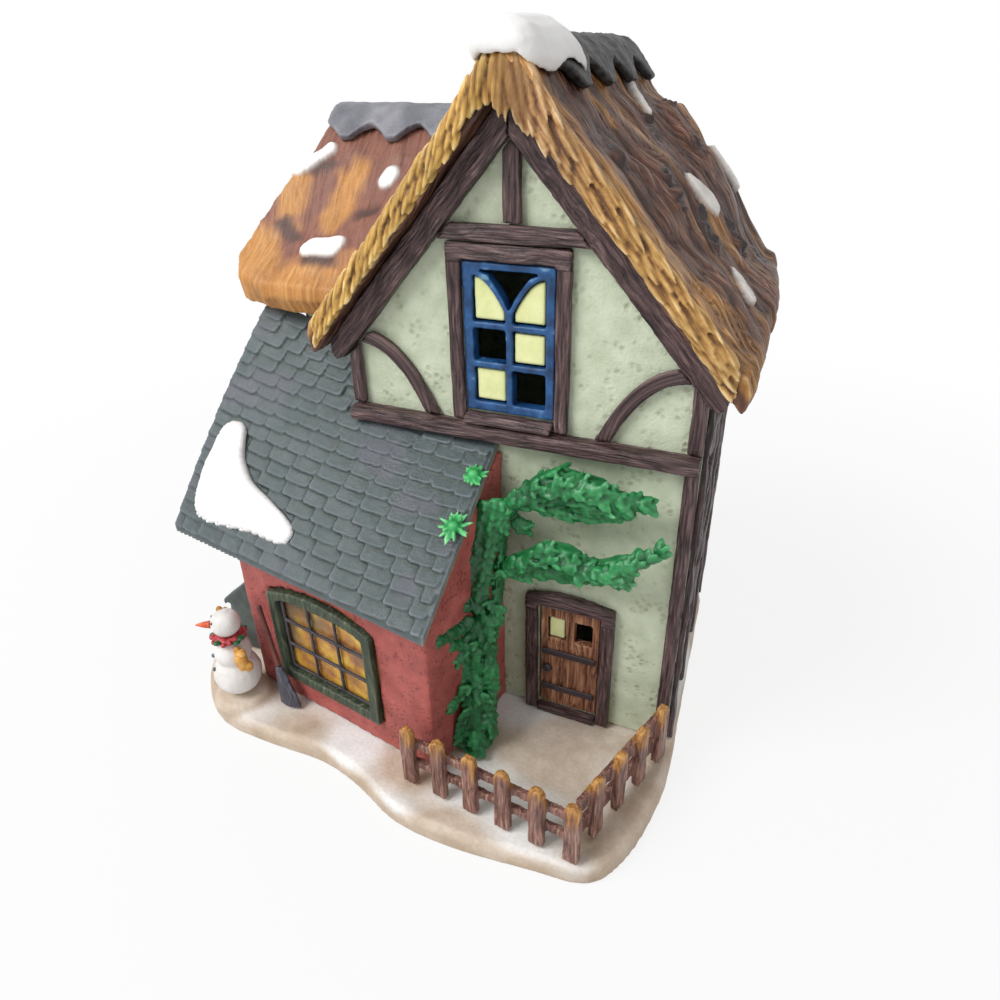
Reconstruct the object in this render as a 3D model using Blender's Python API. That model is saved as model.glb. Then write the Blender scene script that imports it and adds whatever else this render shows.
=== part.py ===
"""Lighted porcelain christmas village shop: a half-timbered house under thatch, with a cross-wing,
a slate-roofed lean-to shop, a fenced snow base, evergreen and a snowman.

Lengths are in millimetres and become metres where meshes are made. The origin is on the table plane
under the middle of the gable front. +X is to the right of someone facing the door, +Y goes back.
"""
import math

import bmesh
import bpy
from mathutils import Matrix, Vector

MM = 0.001

# Clearance kept between two pieces that touch
GAP = 0.3

# Snow base
BASE_THICKNESS = 5.6
BASE_RIM = 2.0
BASE_MIDDLE = (-24.0, 14.0)
BASE_LEFT = -91.0
BASE_BACK = 71.0
BASE_LEDGE = 3.0
MOUND_TOP = 8.0
MOUND_RADIUS = 8.4

# Main block
HOUSE_WIDTH = 80.0
HOUSE_DEPTH = 66.0
BACK_NARROWING = 4.4
WALL = 3.0
ROOF_PITCH = 1.13
APEX_HEIGHT = 151.0

# Main thatch
LUMP_HEIGHT = 1.4
LUMP_PITCH = 16.0
BACK_BULGE = 3.8
EAVE_BULGE = 2.0
THATCH_THICKNESS = 4.7
THATCH_HALF_WIDTH = 47.0
VERGE_FRONT = 6.5
VERGE_BACK = 6.0
ROLL_HALF = 9.0
ROLL_TOP = 157.0

# Cross-wing
WING_FRONT = 12.0
WING_DEPTH = 56.0
WING_INSET = 8.5
WING_WALL = 3.0
WING_PITCH = 1.1
WING_APEX = 138.9
WING_THATCH_THICKNESS = 4.5
WING_EAVE = 7.2
WING_VERGE_RIDGE = 3.5
WING_FLARE = 14.5
WING_CORNER = 11.0

# Half-timbering
TIMBER = 3.0
TIMBER_PROUD = 1.6
BARGE_WIDTH = 4.8
BARGE_PROUD = 3.0
BARGE_TIP = 46.0
BARGE_SHORT = 1.7
# Rounded lower end of a barge board: distance back from its tip, and share of its width
BARGE_END = ((0.9, 0.0), (0.15, 0.22), (0.0, 0.5), (0.55, 0.78), (2.2, 1.0))
BARGE_RAKE = 1.6
KING_POST_WIDTH = 3.6
COLLAR_ABOVE_CASEMENT = 4.0
COLLAR_HEIGHT = 3.3
JETTY_BOTTOM = 83.0
JETTY_HEIGHT = 3.2
JETTY_PROUD = 3.8
SILL_HEIGHT = 2.2
SILL_PROUD = 3.4
# Brace centre line, as shares of half the width and of the height up to its top
BRACE = ((0.94, 1.016), (0.85, 0.984), (0.75, 0.88), (0.65, 0.654), (0.56, 0.33), (0.475, -0.09))

# Casement in the gable
CASEMENT_X = -1.2
CASEMENT_WIDTH = 20.0
CASEMENT_HEIGHT = 31.6
CASEMENT_RAIL = 2.0
CASEMENT_BAR = 1.35
CASEMENT_PROUD = 1.0
CASEMENT_DEPTH = 3.0
PANE_THICKNESS = 1.0
PANE_SETBACK = 0.7

# Door
DOOR_X = 13.9
DOOR_WIDTH = 15.6
DOOR_HEIGHT = 32.6
DOOR_STEP = 1.4
DOOR_STEP_PROUD = 0.5
DOOR_FRAME_WIDTH = 3.4
DOOR_FRAME_PROUD = 2.2
DOOR_ARCH = 1.6
DOOR_THICKNESS = 2.4
DOOR_PLANKS = 5
DOOR_PANE_WIDTH = 4.6
DOOR_PANE_HEIGHT = 6.6
DOOR_PANE_TOP = 4.0
STRAP_HEIGHT = 1.9
STRAP_THICKNESS = 0.5

# Lean-to shop, turned from the gable plane
SHOP_TURN = math.radians(10.3)
SHOP_CORNER = (-9.0, -31.1)
SHOP_LENGTH = 61.0
SHOP_WALL = 2.6
SLATE_EAVE_HEIGHT = 52.0
SLATE_TUCK = 0.6
SLATE_TOP_RISE = 0.045
SLATE_THICKNESS = 2.2
SLATE_STEP = 0.5
SLATE_ROWS = 13
SLATE_EAVE_RIGHT = (-6.6, -35.6)
SLATE_EAVE_LEFT = (-88.1, -20.1)
SLATE_TOP_RIGHT = -3.3
SLATE_TOP_LEFT = -72.7

# Shop window
SHOP_WINDOW_START = 16.1
SHOP_WINDOW_WIDTH = 34.6
SHOP_WINDOW_BOTTOM = 13.3
SHOP_WINDOW_HEIGHT = 27.5
SHOP_FRAME_WIDTH = 3.0
SHOP_FRAME_PROUD = 1.3
SHOP_ARCH = 3.3
SHOP_HEAD_DROP = 0.1
SHOP_HEAD_ROUND = 2.0
LEAD = 0.8
LEAD_DEPTH = 0.8
GLAZING_THICKNESS = 1.0

# Side shed
SHED_WIDTH = 17.0
SHED_FRONT = -12.0
SHED_BACK = 10.0
SHED_HIGH = 37.0
SHED_LOW = 22.0
SHED_ROOF_THICKNESS = 1.8
SHED_OVERHANG = 2.4

# Picket fence
PICKET_HEIGHT = 17.6
PICKET_WIDTH = 3.6
PICKET_THICKNESS = 2.0
RAIL_THICKNESS = 1.6
RAIL_LET_IN = 0.4
# Underside of the lower rail, underside of the upper rail and height of both, over the ground
FRONT_RAILS = (4.4, 10.8, 2.2)
SIDE_RAILS = (3.2, 10.2, 4.0)
FENCE_LEFT = (-13.4, -35.4)
FENCE_CORNER = (28.6, -40.6)
FENCE_BACK = (39.4, -6.6)
FRONT_PICKETS = 5
SIDE_PICKETS = 4

# Snowman and broom
SNOWMAN = (-70.5, -27.6)
SNOWMAN_BALL = 6.3
SNOWMAN_CHEST = 4.9
SNOWMAN_HEAD = 3.8
BROOM_FOOT = (-55.5, -26.2)
BROOM_TOP = (-60.6, -25.0)
BROOM_HEAD_HEIGHT = 12.5
BROOM_HANDLE_RADIUS = 0.7
BROOM_HANDLE_TOP = 37.0

# Lamp from behind
LAMP_HEIGHT = 25.0
LAMP_HOLE = 29.0
HOLDER_BARREL = 25.0
HOLDER_LENGTH = 15.0
HOLDER_FLANGE = 34.0
FLANGE_THICKNESS = 2.2
HOLDER_BOSS = 17.0
BOSS_LENGTH = 8.0
CORD_HOLE = 4.4
CLIP_WIDTH = 5.0
CLIP_THICKNESS = 0.5
SLEEVE_OUTER = 14.6
SLEEVE_WALL = 0.5
SLEEVE_DEPTH = 10.0
BULB_CAP = 12.6
BULB_CAP_LENGTH = 12.0
BULB_GLASS = 22.0
BULB_GLASS_LENGTH = 36.0

# Ridge caps and snow
CAP_THICKNESS = 1.9
CAP_REACH = 8.4
CAP_WAVE = 3.2
CAP_STEP_MAIN = 16.4
CAP_STEP_WING = 12.6
SNOW_HEIGHT = 2.0
RIDGE_SNOW_HEIGHT = 1.8
RIDGE_SNOW_OVERHANG = 0.9
# Length of the ridge patch that lies on the thatch, in front of the ridge cap
SNOW_BEFORE_CAP = 12.5
# Stations along the ridge patch: distance from the front verge, reach to the left and to the right
RIDGE_SNOW = ((0.0, 3.4, 3.8), (1.0, 4.3, 4.8), (2.5, 4.7, 5.2), (5.0, 4.7, 5.6), (7.5, 4.5, 6.0),
              (10.0, 4.5, 6.2), (12.5, 4.7, 5.8), (15.0, 5.0, 5.5), (18.0, 5.0, 6.0), (21.0, 4.8, 6.8),
              (24.0, 4.6, 7.2), (26.5, 4.2, 6.6), (29.0, 3.6, 5.2), (31.0, 2.8, 3.8), (32.4, 1.9, 2.5))
SLATE_SNOW = ((-75.7, -6.7), (-70.6, -6.7), (-69.5, -10.0), (-67.5, -12.5), (-63.0, -15.6),
              (-52.7, -19.3), (-48.2, -21.5), (-50.3, -23.5), (-60.0, -22.0), (-73.9, -20.7),
              (-80.0, -19.0), (-81.2, -15.5), (-79.2, -10.5))

# Evergreen
TRUNK_RADIUS = 3.3
BRANCH_RADIUS = 3.2
SPRIG_RADIUS = 1.7
SPRIG_UPPER = (-6.2, -9.4)
SPRIG_LOWER = (-7.0, -18.6)
TRUNK_PATH = ((-4.2, -19.0, 2.9), (-3.8, -14.5, 22.0), (-3.6, -10.8, 42.0), (-3.0, -7.8, 58.0),
              (-3.2, -6.2, 72.0))
UPPER_BRANCH_PATH = ((-2.0, -6.6, 67.0), (5.0, -6.8, 73.0), (12.0, -6.8, 77.5), (19.0, -6.9, 78.2),
                     (26.0, -6.8, 76.0), (31.4, -6.4, 76.6))
LOWER_BRANCH_PATH = ((-2.0, -8.4, 54.0), (5.0, -8.4, 57.5), (13.0, -8.4, 61.5), (20.0, -8.4, 58.5),
                     (27.0, -8.0, 61.6), (33.4, -7.0, 65.0))

# Places that follow from the sizes above
WING_LEFT = SHOP_CORNER[0] - SHOP_LENGTH * math.cos(SHOP_TURN) + WING_INSET
FOOT = BASE_THICKNESS + GAP
HALF = HOUSE_WIDTH / 2
STEEP = math.sqrt(1 + ROOF_PITCH ** 2)
WING_STEEP = math.sqrt(1 + WING_PITCH ** 2)
THATCH_TOP = APEX_HEIGHT + THATCH_THICKNESS * STEEP
WING_RIDGE_Y = WING_FRONT + WING_DEPTH / 2
WING_TOP = WING_APEX + WING_THATCH_THICKNESS * WING_STEEP
BASE_OUTLINE = ((BASE_LEFT, -14), (-84, -27), (-72, -35), (-55, -36.2), (-40, -36), (-27, -39),
                (-14, -44.2), (2, -45.2), (20, -43.4), (33, -41.6), (39, -33), (42, -20),
                (HALF + 2.8, -6), (HALF + 0.8, 20), (HALF - 1.5, 50), (HALF - 3.5, BASE_BACK - 4),
                (HALF - 12, BASE_BACK), (0, BASE_BACK), (-50, BASE_BACK), (-66, BASE_BACK - 8),
                (-76, BASE_BACK - 30), (BASE_LEFT, 14))
SLATE_TOP_HEIGHT = JETTY_BOTTOM - SLATE_TUCK
JETTY_TOP = JETTY_BOTTOM + JETTY_HEIGHT
SILL_BOTTOM = JETTY_TOP + GAP
CASEMENT_BOTTOM = SILL_BOTTOM + SILL_HEIGHT + GAP
CASEMENT_TOP = CASEMENT_BOTTOM + CASEMENT_HEIGHT
COLLAR_BOTTOM = CASEMENT_TOP + COLLAR_ABOVE_CASEMENT
COLLAR_TOP = COLLAR_BOTTOM + COLLAR_HEIGHT
DOOR_BOTTOM = FOOT + DOOR_STEP + GAP
DOOR_TOP = DOOR_BOTTOM + DOOR_HEIGHT
LAMP_X = -BACK_NARROWING / 2
SNOW_START = -VERGE_FRONT - RIDGE_SNOW_OVERHANG


def material(name, colour, roughness=0.6, metallic=0.0):
    """A Principled material in one plain colour."""
    found = bpy.data.materials.get(name)
    if found:
        return found
    made = bpy.data.materials.new(name)
    made.use_nodes = True
    shader = made.node_tree.nodes["Principled BSDF"]
    shader.inputs["Base Color"].default_value = (*colour, 1.0)
    shader.inputs["Roughness"].default_value = roughness
    shader.inputs["Metallic"].default_value = metallic
    made.diffuse_color = (*colour, 1.0)
    return made


STUCCO = ("sage stucco", (0.52, 0.60, 0.44), 0.75)
WOOD = ("dark timber", (0.10, 0.06, 0.055), 0.6)
THATCH = ("thatch", (0.42, 0.20, 0.09), 0.85)
RIDGE_GREY = ("grey ridge", (0.18, 0.19, 0.20), 0.7)
SLATE = ("slate", (0.08, 0.10, 0.105), 0.6)
BRICK_RED = ("brick red", (0.42, 0.11, 0.10), 0.7)
WINDOW_GREEN = ("window green", (0.07, 0.14, 0.06), 0.55)
LEADING = ("leading", (0.05, 0.045, 0.05), 0.5)
AMBER = ("amber pane", (0.58, 0.27, 0.05), 0.4)
CASEMENT_BLUE = ("casement blue", (0.03, 0.10, 0.26), 0.45)
PALE_YELLOW = ("pale yellow pane", (0.75, 0.76, 0.40), 0.5)
DOOR_BROWN = ("door brown", (0.20, 0.08, 0.04), 0.6)
IRON = ("dark iron", (0.04, 0.03, 0.035), 0.5)
EVERGREEN = ("evergreen", (0.012, 0.12, 0.05), 0.7)
SPRIG_GREEN = ("bright green", (0.08, 0.42, 0.12), 0.6)
FENCE_BROWN = ("fence brown", (0.16, 0.07, 0.05), 0.65)
SNOW = ("snow", (0.82, 0.80, 0.77), 0.7)
CARROT = ("carrot", (0.75, 0.14, 0.03), 0.5)
HOLLY = ("holly red and green", (0.35, 0.05, 0.05), 0.5)
TAN = ("tan glove", (0.66, 0.36, 0.08), 0.6)
BROOM_GREY = ("broom grey", (0.07, 0.07, 0.09), 0.6)
WHITE_PLASTIC = ("white plastic", (0.80, 0.80, 0.77), 0.45)
SPRING_STEEL = ("spring steel", (0.60, 0.60, 0.62), 0.3, 1.0)
BRASS = ("brass", (0.78, 0.57, 0.22), 0.3, 1.0)
GLASS = ("bulb glass", (0.92, 0.92, 0.90), 0.08)


def node(name, verts, faces, look, smooth=False):
    """One named object from points in millimetres, closed and facing out."""
    mesh = bpy.data.meshes.new(name)
    mesh.from_pydata([[c * MM for c in v] for v in verts], [], faces)
    shell = bmesh.new()
    shell.from_mesh(mesh)
    bmesh.ops.recalc_face_normals(shell, faces=shell.faces)
    shell.to_mesh(mesh)
    shell.free()
    mesh.materials.append(material(*look))
    if smooth:
        mesh.shade_smooth()
        mesh.set_sharp_from_angle(angle=math.radians(40))
    made = bpy.data.objects.new(name, mesh)
    bpy.context.collection.objects.link(made)
    return made


def loft(rings):
    """Points and faces of a closed solid through rings of equal count, capped at both ends."""
    count = len(rings[0])
    verts = [v for ring in rings for v in ring]
    faces = []
    for k in range(len(rings) - 1):
        for i in range(count):
            j = (i + 1) % count
            faces.append((k * count + i, k * count + j, (k + 1) * count + j, (k + 1) * count + i))
    faces.append(tuple(range(count)))
    faces.append(tuple((len(rings) - 1) * count + i for i in range(count)))
    return verts, faces


def slab(top, bottom):
    """Points and faces between two grids of points, closed round the edge."""
    rows, columns = len(top), len(top[0])
    verts = [v for grid in (top, bottom) for row in grid for v in row]
    below = rows * columns
    faces = []
    for r in range(rows - 1):
        for c in range(columns - 1):
            a = r * columns + c
            quad = (a, a + 1, a + columns + 1, a + columns)
            faces.append(quad)
            faces.append(tuple(below + i for i in reversed(quad)))
    edge = [c for c in range(columns)]
    edge += [r * columns + columns - 1 for r in range(1, rows)]
    edge += [(rows - 1) * columns + c for c in range(columns - 2, -1, -1)]
    edge += [r * columns for r in range(rows - 2, 0, -1)]
    for i, a in enumerate(edge):
        b = edge[(i + 1) % len(edge)]
        faces.append((a, below + a, below + b, b))
    return verts, faces


def joined(*solids):
    """Several separate solids as one set of points and faces."""
    verts, faces = [], []
    for points, sides in solids:
        start = len(verts)
        verts += list(points)
        faces += [tuple(start + i for i in side) for side in sides]
    return verts, faces


def along_y(outline, front, back):
    """A prism from an outline in X and Z, running from front to back."""
    return loft([[(x, front, z) for x, z in outline], [(x, back, z) for x, z in outline]])


def along_z(outline, low, high):
    """A prism from a plan outline in X and Y."""
    return loft([[(x, y, low) for x, y in outline], [(x, y, high) for x, y in outline]])


def along_x(outline, left, right):
    """A prism from an outline in Y and Z."""
    return loft([[(left, y, z) for y, z in outline], [(right, y, z) for y, z in outline]])


def block(low, high):
    """A box between two corners."""
    return along_z([(low[0], low[1]), (high[0], low[1]), (high[0], high[1]), (low[0], high[1])],
                   low[2], high[2])


def turned(profile, sides, centre=(0, 0, 0), axis="Z"):
    """A solid of revolution from (radius, height) points, with flat or pointed ends."""
    verts, faces = [], []
    for radius, height in profile:
        for i in range(sides):
            angle = 2 * math.pi * i / sides
            a, b = radius * math.cos(angle), radius * math.sin(angle)
            spot = (a, b, height) if axis == "Z" else (a, height, b)
            verts.append(tuple(c + s for c, s in zip(centre, spot)))
    for k in range(len(profile) - 1):
        for i in range(sides):
            j = (i + 1) % sides
            faces.append((k * sides + i, k * sides + j, (k + 1) * sides + j, (k + 1) * sides + i))
    faces.append(tuple(range(sides)))
    faces.append(tuple((len(profile) - 1) * sides + i for i in range(sides)))
    return verts, faces


def tube(points, radii, sides, lobes=0, lobe_depth=0.0):
    """A closed tube along points, its section optionally lobed and turning as it goes."""
    path = [Vector(p) for p in points]
    rings = []
    for k, here in enumerate(path):
        ahead = path[min(k + 1, len(path) - 1)] - path[max(k - 1, 0)]
        ahead.normalize()
        side = ahead.cross(Vector((0, 0, 1)) if abs(ahead.z) < 0.9 else Vector((0, 1, 0)))
        side.normalize()
        up = side.cross(ahead)
        ring = []
        for i in range(sides):
            angle = 2 * math.pi * i / sides
            swell = 1 + lobe_depth * math.sin(lobes * angle + 1.9 * k)
            spoke = side * math.cos(angle) + up * math.sin(angle)
            ring.append(tuple(here + spoke * radii[k] * swell))
        rings.append(ring)
    return loft(rings)


def smooth_path(points, steps):
    """A Catmull-Rom curve through points, with a number of steps in each span."""
    path = [Vector(p) for p in points]
    padded = [2 * path[0] - path[1]] + path + [2 * path[-1] - path[-2]]
    curve = []
    for k in range(1, len(padded) - 2):
        a, b, c, d = padded[k - 1:k + 3]
        for s in range(steps):
            t = s / steps
            curve.append(0.5 * (2 * b + (c - a) * t + (2 * a - 5 * b + 4 * c - d) * t ** 2
                                + (3 * b - a - 3 * c + d) * t ** 3))
    curve.append(path[-1])
    return curve


def smooth_loop(points, steps):
    """A closed Catmull-Rom curve in plan through points."""
    count = len(points)
    curve = []
    for k in range(count):
        a, b, c, d = (Vector(points[(k + o) % count]) for o in (-1, 0, 1, 2))
        for s in range(steps):
            t = s / steps
            curve.append(tuple(0.5 * (2 * b + (c - a) * t + (2 * a - 5 * b + 4 * c - d) * t ** 2
                                      + (3 * b - a - 3 * c + d) * t ** 3)))
    return curve


def cutter(name, shape):
    """A hidden guide that Booleans use."""
    made = node(name, *shape, IRON)
    made.hide_render = True
    made.display_type = "WIRE"
    return made


def boolean(target, tools, operation="DIFFERENCE"):
    """Cut or join target with each tool, in order."""
    for tool in tools:
        step = target.modifiers.new(tool.name, "BOOLEAN")
        step.operation = operation
        step.solver = "EXACT"
        step.object = tool


def roof_line(x, drop=0.0):
    """Height of the underside of the main thatch at x, less a drop square to the slope."""
    return APEX_HEIGHT - ROOF_PITCH * abs(x) - drop * STEEP


def roof_half_width(z, drop=0.0):
    """Distance from the ridge line at which that underside reaches height z."""
    return (APEX_HEIGHT - drop * STEEP - z) / ROOF_PITCH


def thatch_top(x):
    """Height of the main thatch's outer face, with a roll along the ridge."""
    if abs(x) >= ROLL_HALF:
        return THATCH_TOP - ROOF_PITCH * abs(x)
    shoulder = THATCH_TOP - ROOF_PITCH * ROLL_HALF
    return shoulder + (ROLL_TOP - shoulder) * math.cos(math.pi / 2 * x / ROLL_HALF)


def thatch_swell(x, y):
    """Rise of the combed lumps on the right slope of the main thatch."""
    fade = min(1.0, max(0.0, (x - ROLL_HALF - 3) / 6)) * min(1.0, max(0.0, (THATCH_HALF_WIDTH - x) / 5))
    fade *= min(1.0, max(0.0, (y + VERGE_FRONT - 3) / 7))
    along, down = y / LUMP_PITCH, x * STEEP / LUMP_PITCH
    wave = math.sin(along * 3.1 + down * 1.4) + math.sin(down * 3.4 - along * 1.3 + 1.9)
    belly = math.sin(math.pi * min(1.0, max(0.0, (x - ROLL_HALF - 2) / (THATCH_HALF_WIDTH * 0.66))))
    return LUMP_HEIGHT * fade * wave / 2 + BACK_BULGE * belly * min(1.0, max(0.0, (y - 8) / 50))


def wing_swell(x, y):
    """Rise of the broad lumps on the wing thatch, clear of its ridge cap."""
    off = abs(y - WING_RIDGE_Y)
    fade = min(1.0, max(0.0, (off - CAP_REACH) / 6)) * min(1.0, max(0.0, (WING_DEPTH / 2 + 4 - off) / 5))
    return LUMP_HEIGHT * fade * math.sin(off * WING_STEEP / LUMP_PITCH * 2.2 + x / LUMP_PITCH * 1.9 + 0.8)


def wing_line(y, drop=0.0):
    """Height of the underside of the wing thatch at y, less a drop square to the slope."""
    return WING_APEX - WING_PITCH * abs(y - WING_RIDGE_Y) - drop * WING_STEEP


def wing_top(y):
    """Height of the wing thatch's outer face, rounded over the ridge."""
    return WING_TOP + 2.0 - WING_PITCH * math.hypot(y - WING_RIDGE_Y, 3.2)


def raised(surface, off, distance):
    """Point at a distance square out from a ridge surface, as its new offset and height."""
    step = 0.2
    slope = (surface(off + step) - surface(off - step)) / (2 * step)
    length = math.hypot(1.0, slope)
    return off - slope / length * distance, surface(off) + distance / length


def slate_eave_y(x):
    """Plan line of the slate roof's eave."""
    slope = (SLATE_EAVE_LEFT[1] - SLATE_EAVE_RIGHT[1]) / (SLATE_EAVE_LEFT[0] - SLATE_EAVE_RIGHT[0])
    return SLATE_EAVE_RIGHT[1] + slope * (x - SLATE_EAVE_RIGHT[0])


def slate_height(x, y):
    """Upper face of the twisted slate roof, straight along Y and level along its eave."""
    rise = SLATE_TOP_HEIGHT - SLATE_TOP_RISE * x - SLATE_EAVE_HEIGHT
    return SLATE_EAVE_HEIGHT + rise * (1 - y / slate_eave_y(x))


def shop_point(along, back=0.0):
    """Plan point at a distance along the shop front to the left, and back into the shop."""
    left, away = math.cos(SHOP_TURN), math.sin(SHOP_TURN)
    x = SHOP_CORNER[0] - along * left + back * away
    y = SHOP_CORNER[1] + along * away + back * left
    return x, y


def shop_back(along, y):
    """How far back from the shop front the plan line y lies, at a distance along the front."""
    return (y - shop_point(along)[1]) / math.cos(SHOP_TURN)


def in_shop(solid):
    """Place a solid made in shop terms (along, back, up) into the turned shop."""
    verts, faces = solid
    return [(*shop_point(a, b), z) for a, b, z in verts], faces


def grown_house(grow):
    """The main block's walls as one filled solid, grown by a clearance."""
    def ring(y, right):
        left = -HALF - grow
        return [(left, y, 0), (right, y, 0), (right, y, roof_line(right)),
                (0, y, roof_line(0)), (left, y, roof_line(left))]
    return loft([ring(-grow, HALF + grow),
                 ring(HOUSE_DEPTH + grow, HALF - BACK_NARROWING + grow)])


def thatch_section(grow=0.0):
    """Outer face of the main thatch, left eave to right eave, as points in X and Z."""
    outer = THATCH_HALF_WIDTH + grow
    shoulder = THATCH_HALF_WIDTH - 2.6
    lift = grow * STEEP
    half = [(outer, roof_line(BARGE_TIP) + 1.6), (outer + 0.4, thatch_top(shoulder) - 4.4),
            (outer - 0.5, thatch_top(shoulder) - 1.6 + lift * 0.5),
            (shoulder, thatch_top(shoulder) + lift)]
    for share in (0.84, 0.72, 0.6, 0.49, 0.38, 0.28):
        half.append((THATCH_HALF_WIDTH * share, thatch_top(THATCH_HALF_WIDTH * share) + lift))
    for share in (1.0, 0.8, 0.6, 0.4, 0.2):
        half.append((ROLL_HALF * share, thatch_top(ROLL_HALF * share) + lift))
    left = [(-x, z) for x, z in half]
    return left + [(0.0, thatch_top(0) + lift)] + half[::-1]


def main_block():
    """The gabled main block with its openings."""
    def ring(y, right):
        top = GAP
        return [(-HALF, y, FOOT), (right, y, FOOT), (right, y, roof_line(right, top)),
                (0, y, roof_line(0, top)), (-HALF, y, roof_line(HALF, top))]
    shell = node("house_shell", *loft([ring(0, HALF), ring(HOUSE_DEPTH, HALF - BACK_NARROWING)]),
                 STUCCO)
    inner_right = HALF - WALL
    hollow = along_z([(-HALF + WALL, WALL), (inner_right, WALL),
                      (inner_right - BACK_NARROWING, HOUSE_DEPTH - WALL),
                      (-HALF + WALL, HOUSE_DEPTH - WALL)], 0, APEX_HEIGHT + 20)
    window = block((CASEMENT_X - CASEMENT_WIDTH / 2 - GAP, -5, CASEMENT_BOTTOM - GAP),
                   (CASEMENT_X + CASEMENT_WIDTH / 2 + GAP, WALL + 2, CASEMENT_TOP + GAP))
    door = block((DOOR_X - DOOR_WIDTH / 2 - GAP, -5, DOOR_BOTTOM - GAP),
                 (DOOR_X + DOOR_WIDTH / 2 + GAP, WALL + 2, DOOR_TOP + GAP))
    lamp = turned([(LAMP_HOLE / 2, HOUSE_DEPTH - WALL - 3), (LAMP_HOLE / 2, HOUSE_DEPTH + 3)], 40,
                  (LAMP_X, 0, LAMP_HEIGHT), "Y")
    to_wing = block((-HALF - 3, WING_FRONT + 10, FOOT + 14), (-HALF + WALL + 2, HOUSE_DEPTH - 12, 84))
    to_shop = block((-HALF + 8, -5, FOOT + 12), (SHOP_CORNER[0] - 6, WALL + 2, 46))
    boolean(shell, [cutter("cut_house_hollow", hollow), cutter("cut_window", window),
                    cutter("cut_door", door), cutter("cut_lamp_hole", lamp),
                    cutter("cut_to_wing", to_wing), cutter("cut_to_shop", to_shop)])


def roof_envelope(grow):
    """Everything under the main thatch's outer face, as one filled solid to cut its neighbours."""
    section = thatch_section(grow)
    low = HALF + grow
    under = roof_line(BARGE_TIP) - 4
    outline = [(-low, 0), (-low, under - 4), (section[0][0], under)] + section
    outline += [(-section[0][0], under), (low, under - 4), (low, 0)]
    return along_y(outline, -VERGE_FRONT - 20, HOUSE_DEPTH + VERGE_BACK + 20)


def cross_wing():
    """The cross-wing's three walls."""
    back = WING_FRONT + WING_DEPTH
    right = -HALF - GAP

    def ring(x):
        return [(x, WING_FRONT, FOOT), (x, back, FOOT), (x, back, wing_line(back, GAP)),
                (x, WING_RIDGE_Y, wing_line(WING_RIDGE_Y, GAP)),
                (x, WING_FRONT, wing_line(WING_FRONT, GAP))]
    shell = node("wing_shell", *loft([ring(WING_LEFT), ring(right)]), STUCCO)
    hollow = block((WING_LEFT + WING_WALL, WING_FRONT + WING_WALL, 0),
                   (right + 5, back - WING_WALL, WING_APEX + 20))
    boolean(shell, [cutter("cut_wing_hollow", hollow), cutter("cut_wing_roof", roof_envelope(GAP))])


def thatch_main():
    """The thick main thatch, with both verges rounded over."""
    outer = thatch_section()
    count = len(outer)
    inner = []
    for i, (x, _) in enumerate(outer):
        corner = min(i, count - 1 - i)
        inner_x = math.copysign(BARGE_TIP - 0.7 * corner, x) if corner < 3 else x * 0.96
        inner.append((inner_x, roof_line(inner_x)))
    front, back = -VERGE_FRONT, HOUSE_DEPTH + VERGE_BACK
    stations = [(front, 1.1), (front + 0.6, 0.4), (front + 1.8, 0.0)]
    between = 8
    for k in range(between + 1):
        stations.append((front + 9 + (back - front - 18) * k / between, 0.0))
    stations += [(back - 4.0, 0.3), (back - 1.4, 1.2), (back, 2.6)]

    def row(points, y, inset, swell):
        """One cross-section, its right half drawn in along the slope towards the back."""
        pull = BACK_NARROWING / THATCH_HALF_WIDTH * y / HOUSE_DEPTH
        placed = []
        for x, z in points:
            drawn = x * (1 - inset / THATCH_HALF_WIDTH * 0.6)
            if swell and x > THATCH_HALF_WIDTH - 3:
                drawn += EAVE_BULGE * math.sin(math.pi * (y - front) / (back - front))
            shift = drawn * pull if x > ROLL_HALF else 0.0
            rise = thatch_swell(x, y) * STEEP if swell else 0.0
            placed.append((drawn - shift, y, z - inset + ROOF_PITCH * shift + rise))
        return placed
    top = [row(outer, y, inset, True) for y, inset in stations]
    bottom = [row(inner, y, 0.0, False) for y, _ in stations]
    node("main_thatch", *slab(top, bottom), THATCH, smooth=True)


def wing_left_edge(y):
    """Plan line of the wing thatch's flared left verge."""
    reach = min(1.0, abs(y - WING_RIDGE_Y) / (WING_DEPTH / 2 - 1))
    return WING_LEFT - WING_VERGE_RIDGE - WING_FLARE * reach ** 1.9


def wing_envelope(grow):
    """Everything over the underside of the wing thatch, as one filled solid to cut its neighbours."""
    reach = WING_DEPTH / 2 + WING_EAVE + 2 * grow
    outline = [(WING_RIDGE_Y - reach, wing_line(WING_RIDGE_Y - reach, grow)),
               (WING_RIDGE_Y, wing_line(WING_RIDGE_Y, grow)),
               (WING_RIDGE_Y + reach, wing_line(WING_RIDGE_Y + reach, grow)),
               (WING_RIDGE_Y + reach, WING_TOP), (WING_RIDGE_Y - reach, WING_TOP)]
    return along_x(outline, wing_left_edge(WING_FRONT) - HALF, 0)


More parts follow.
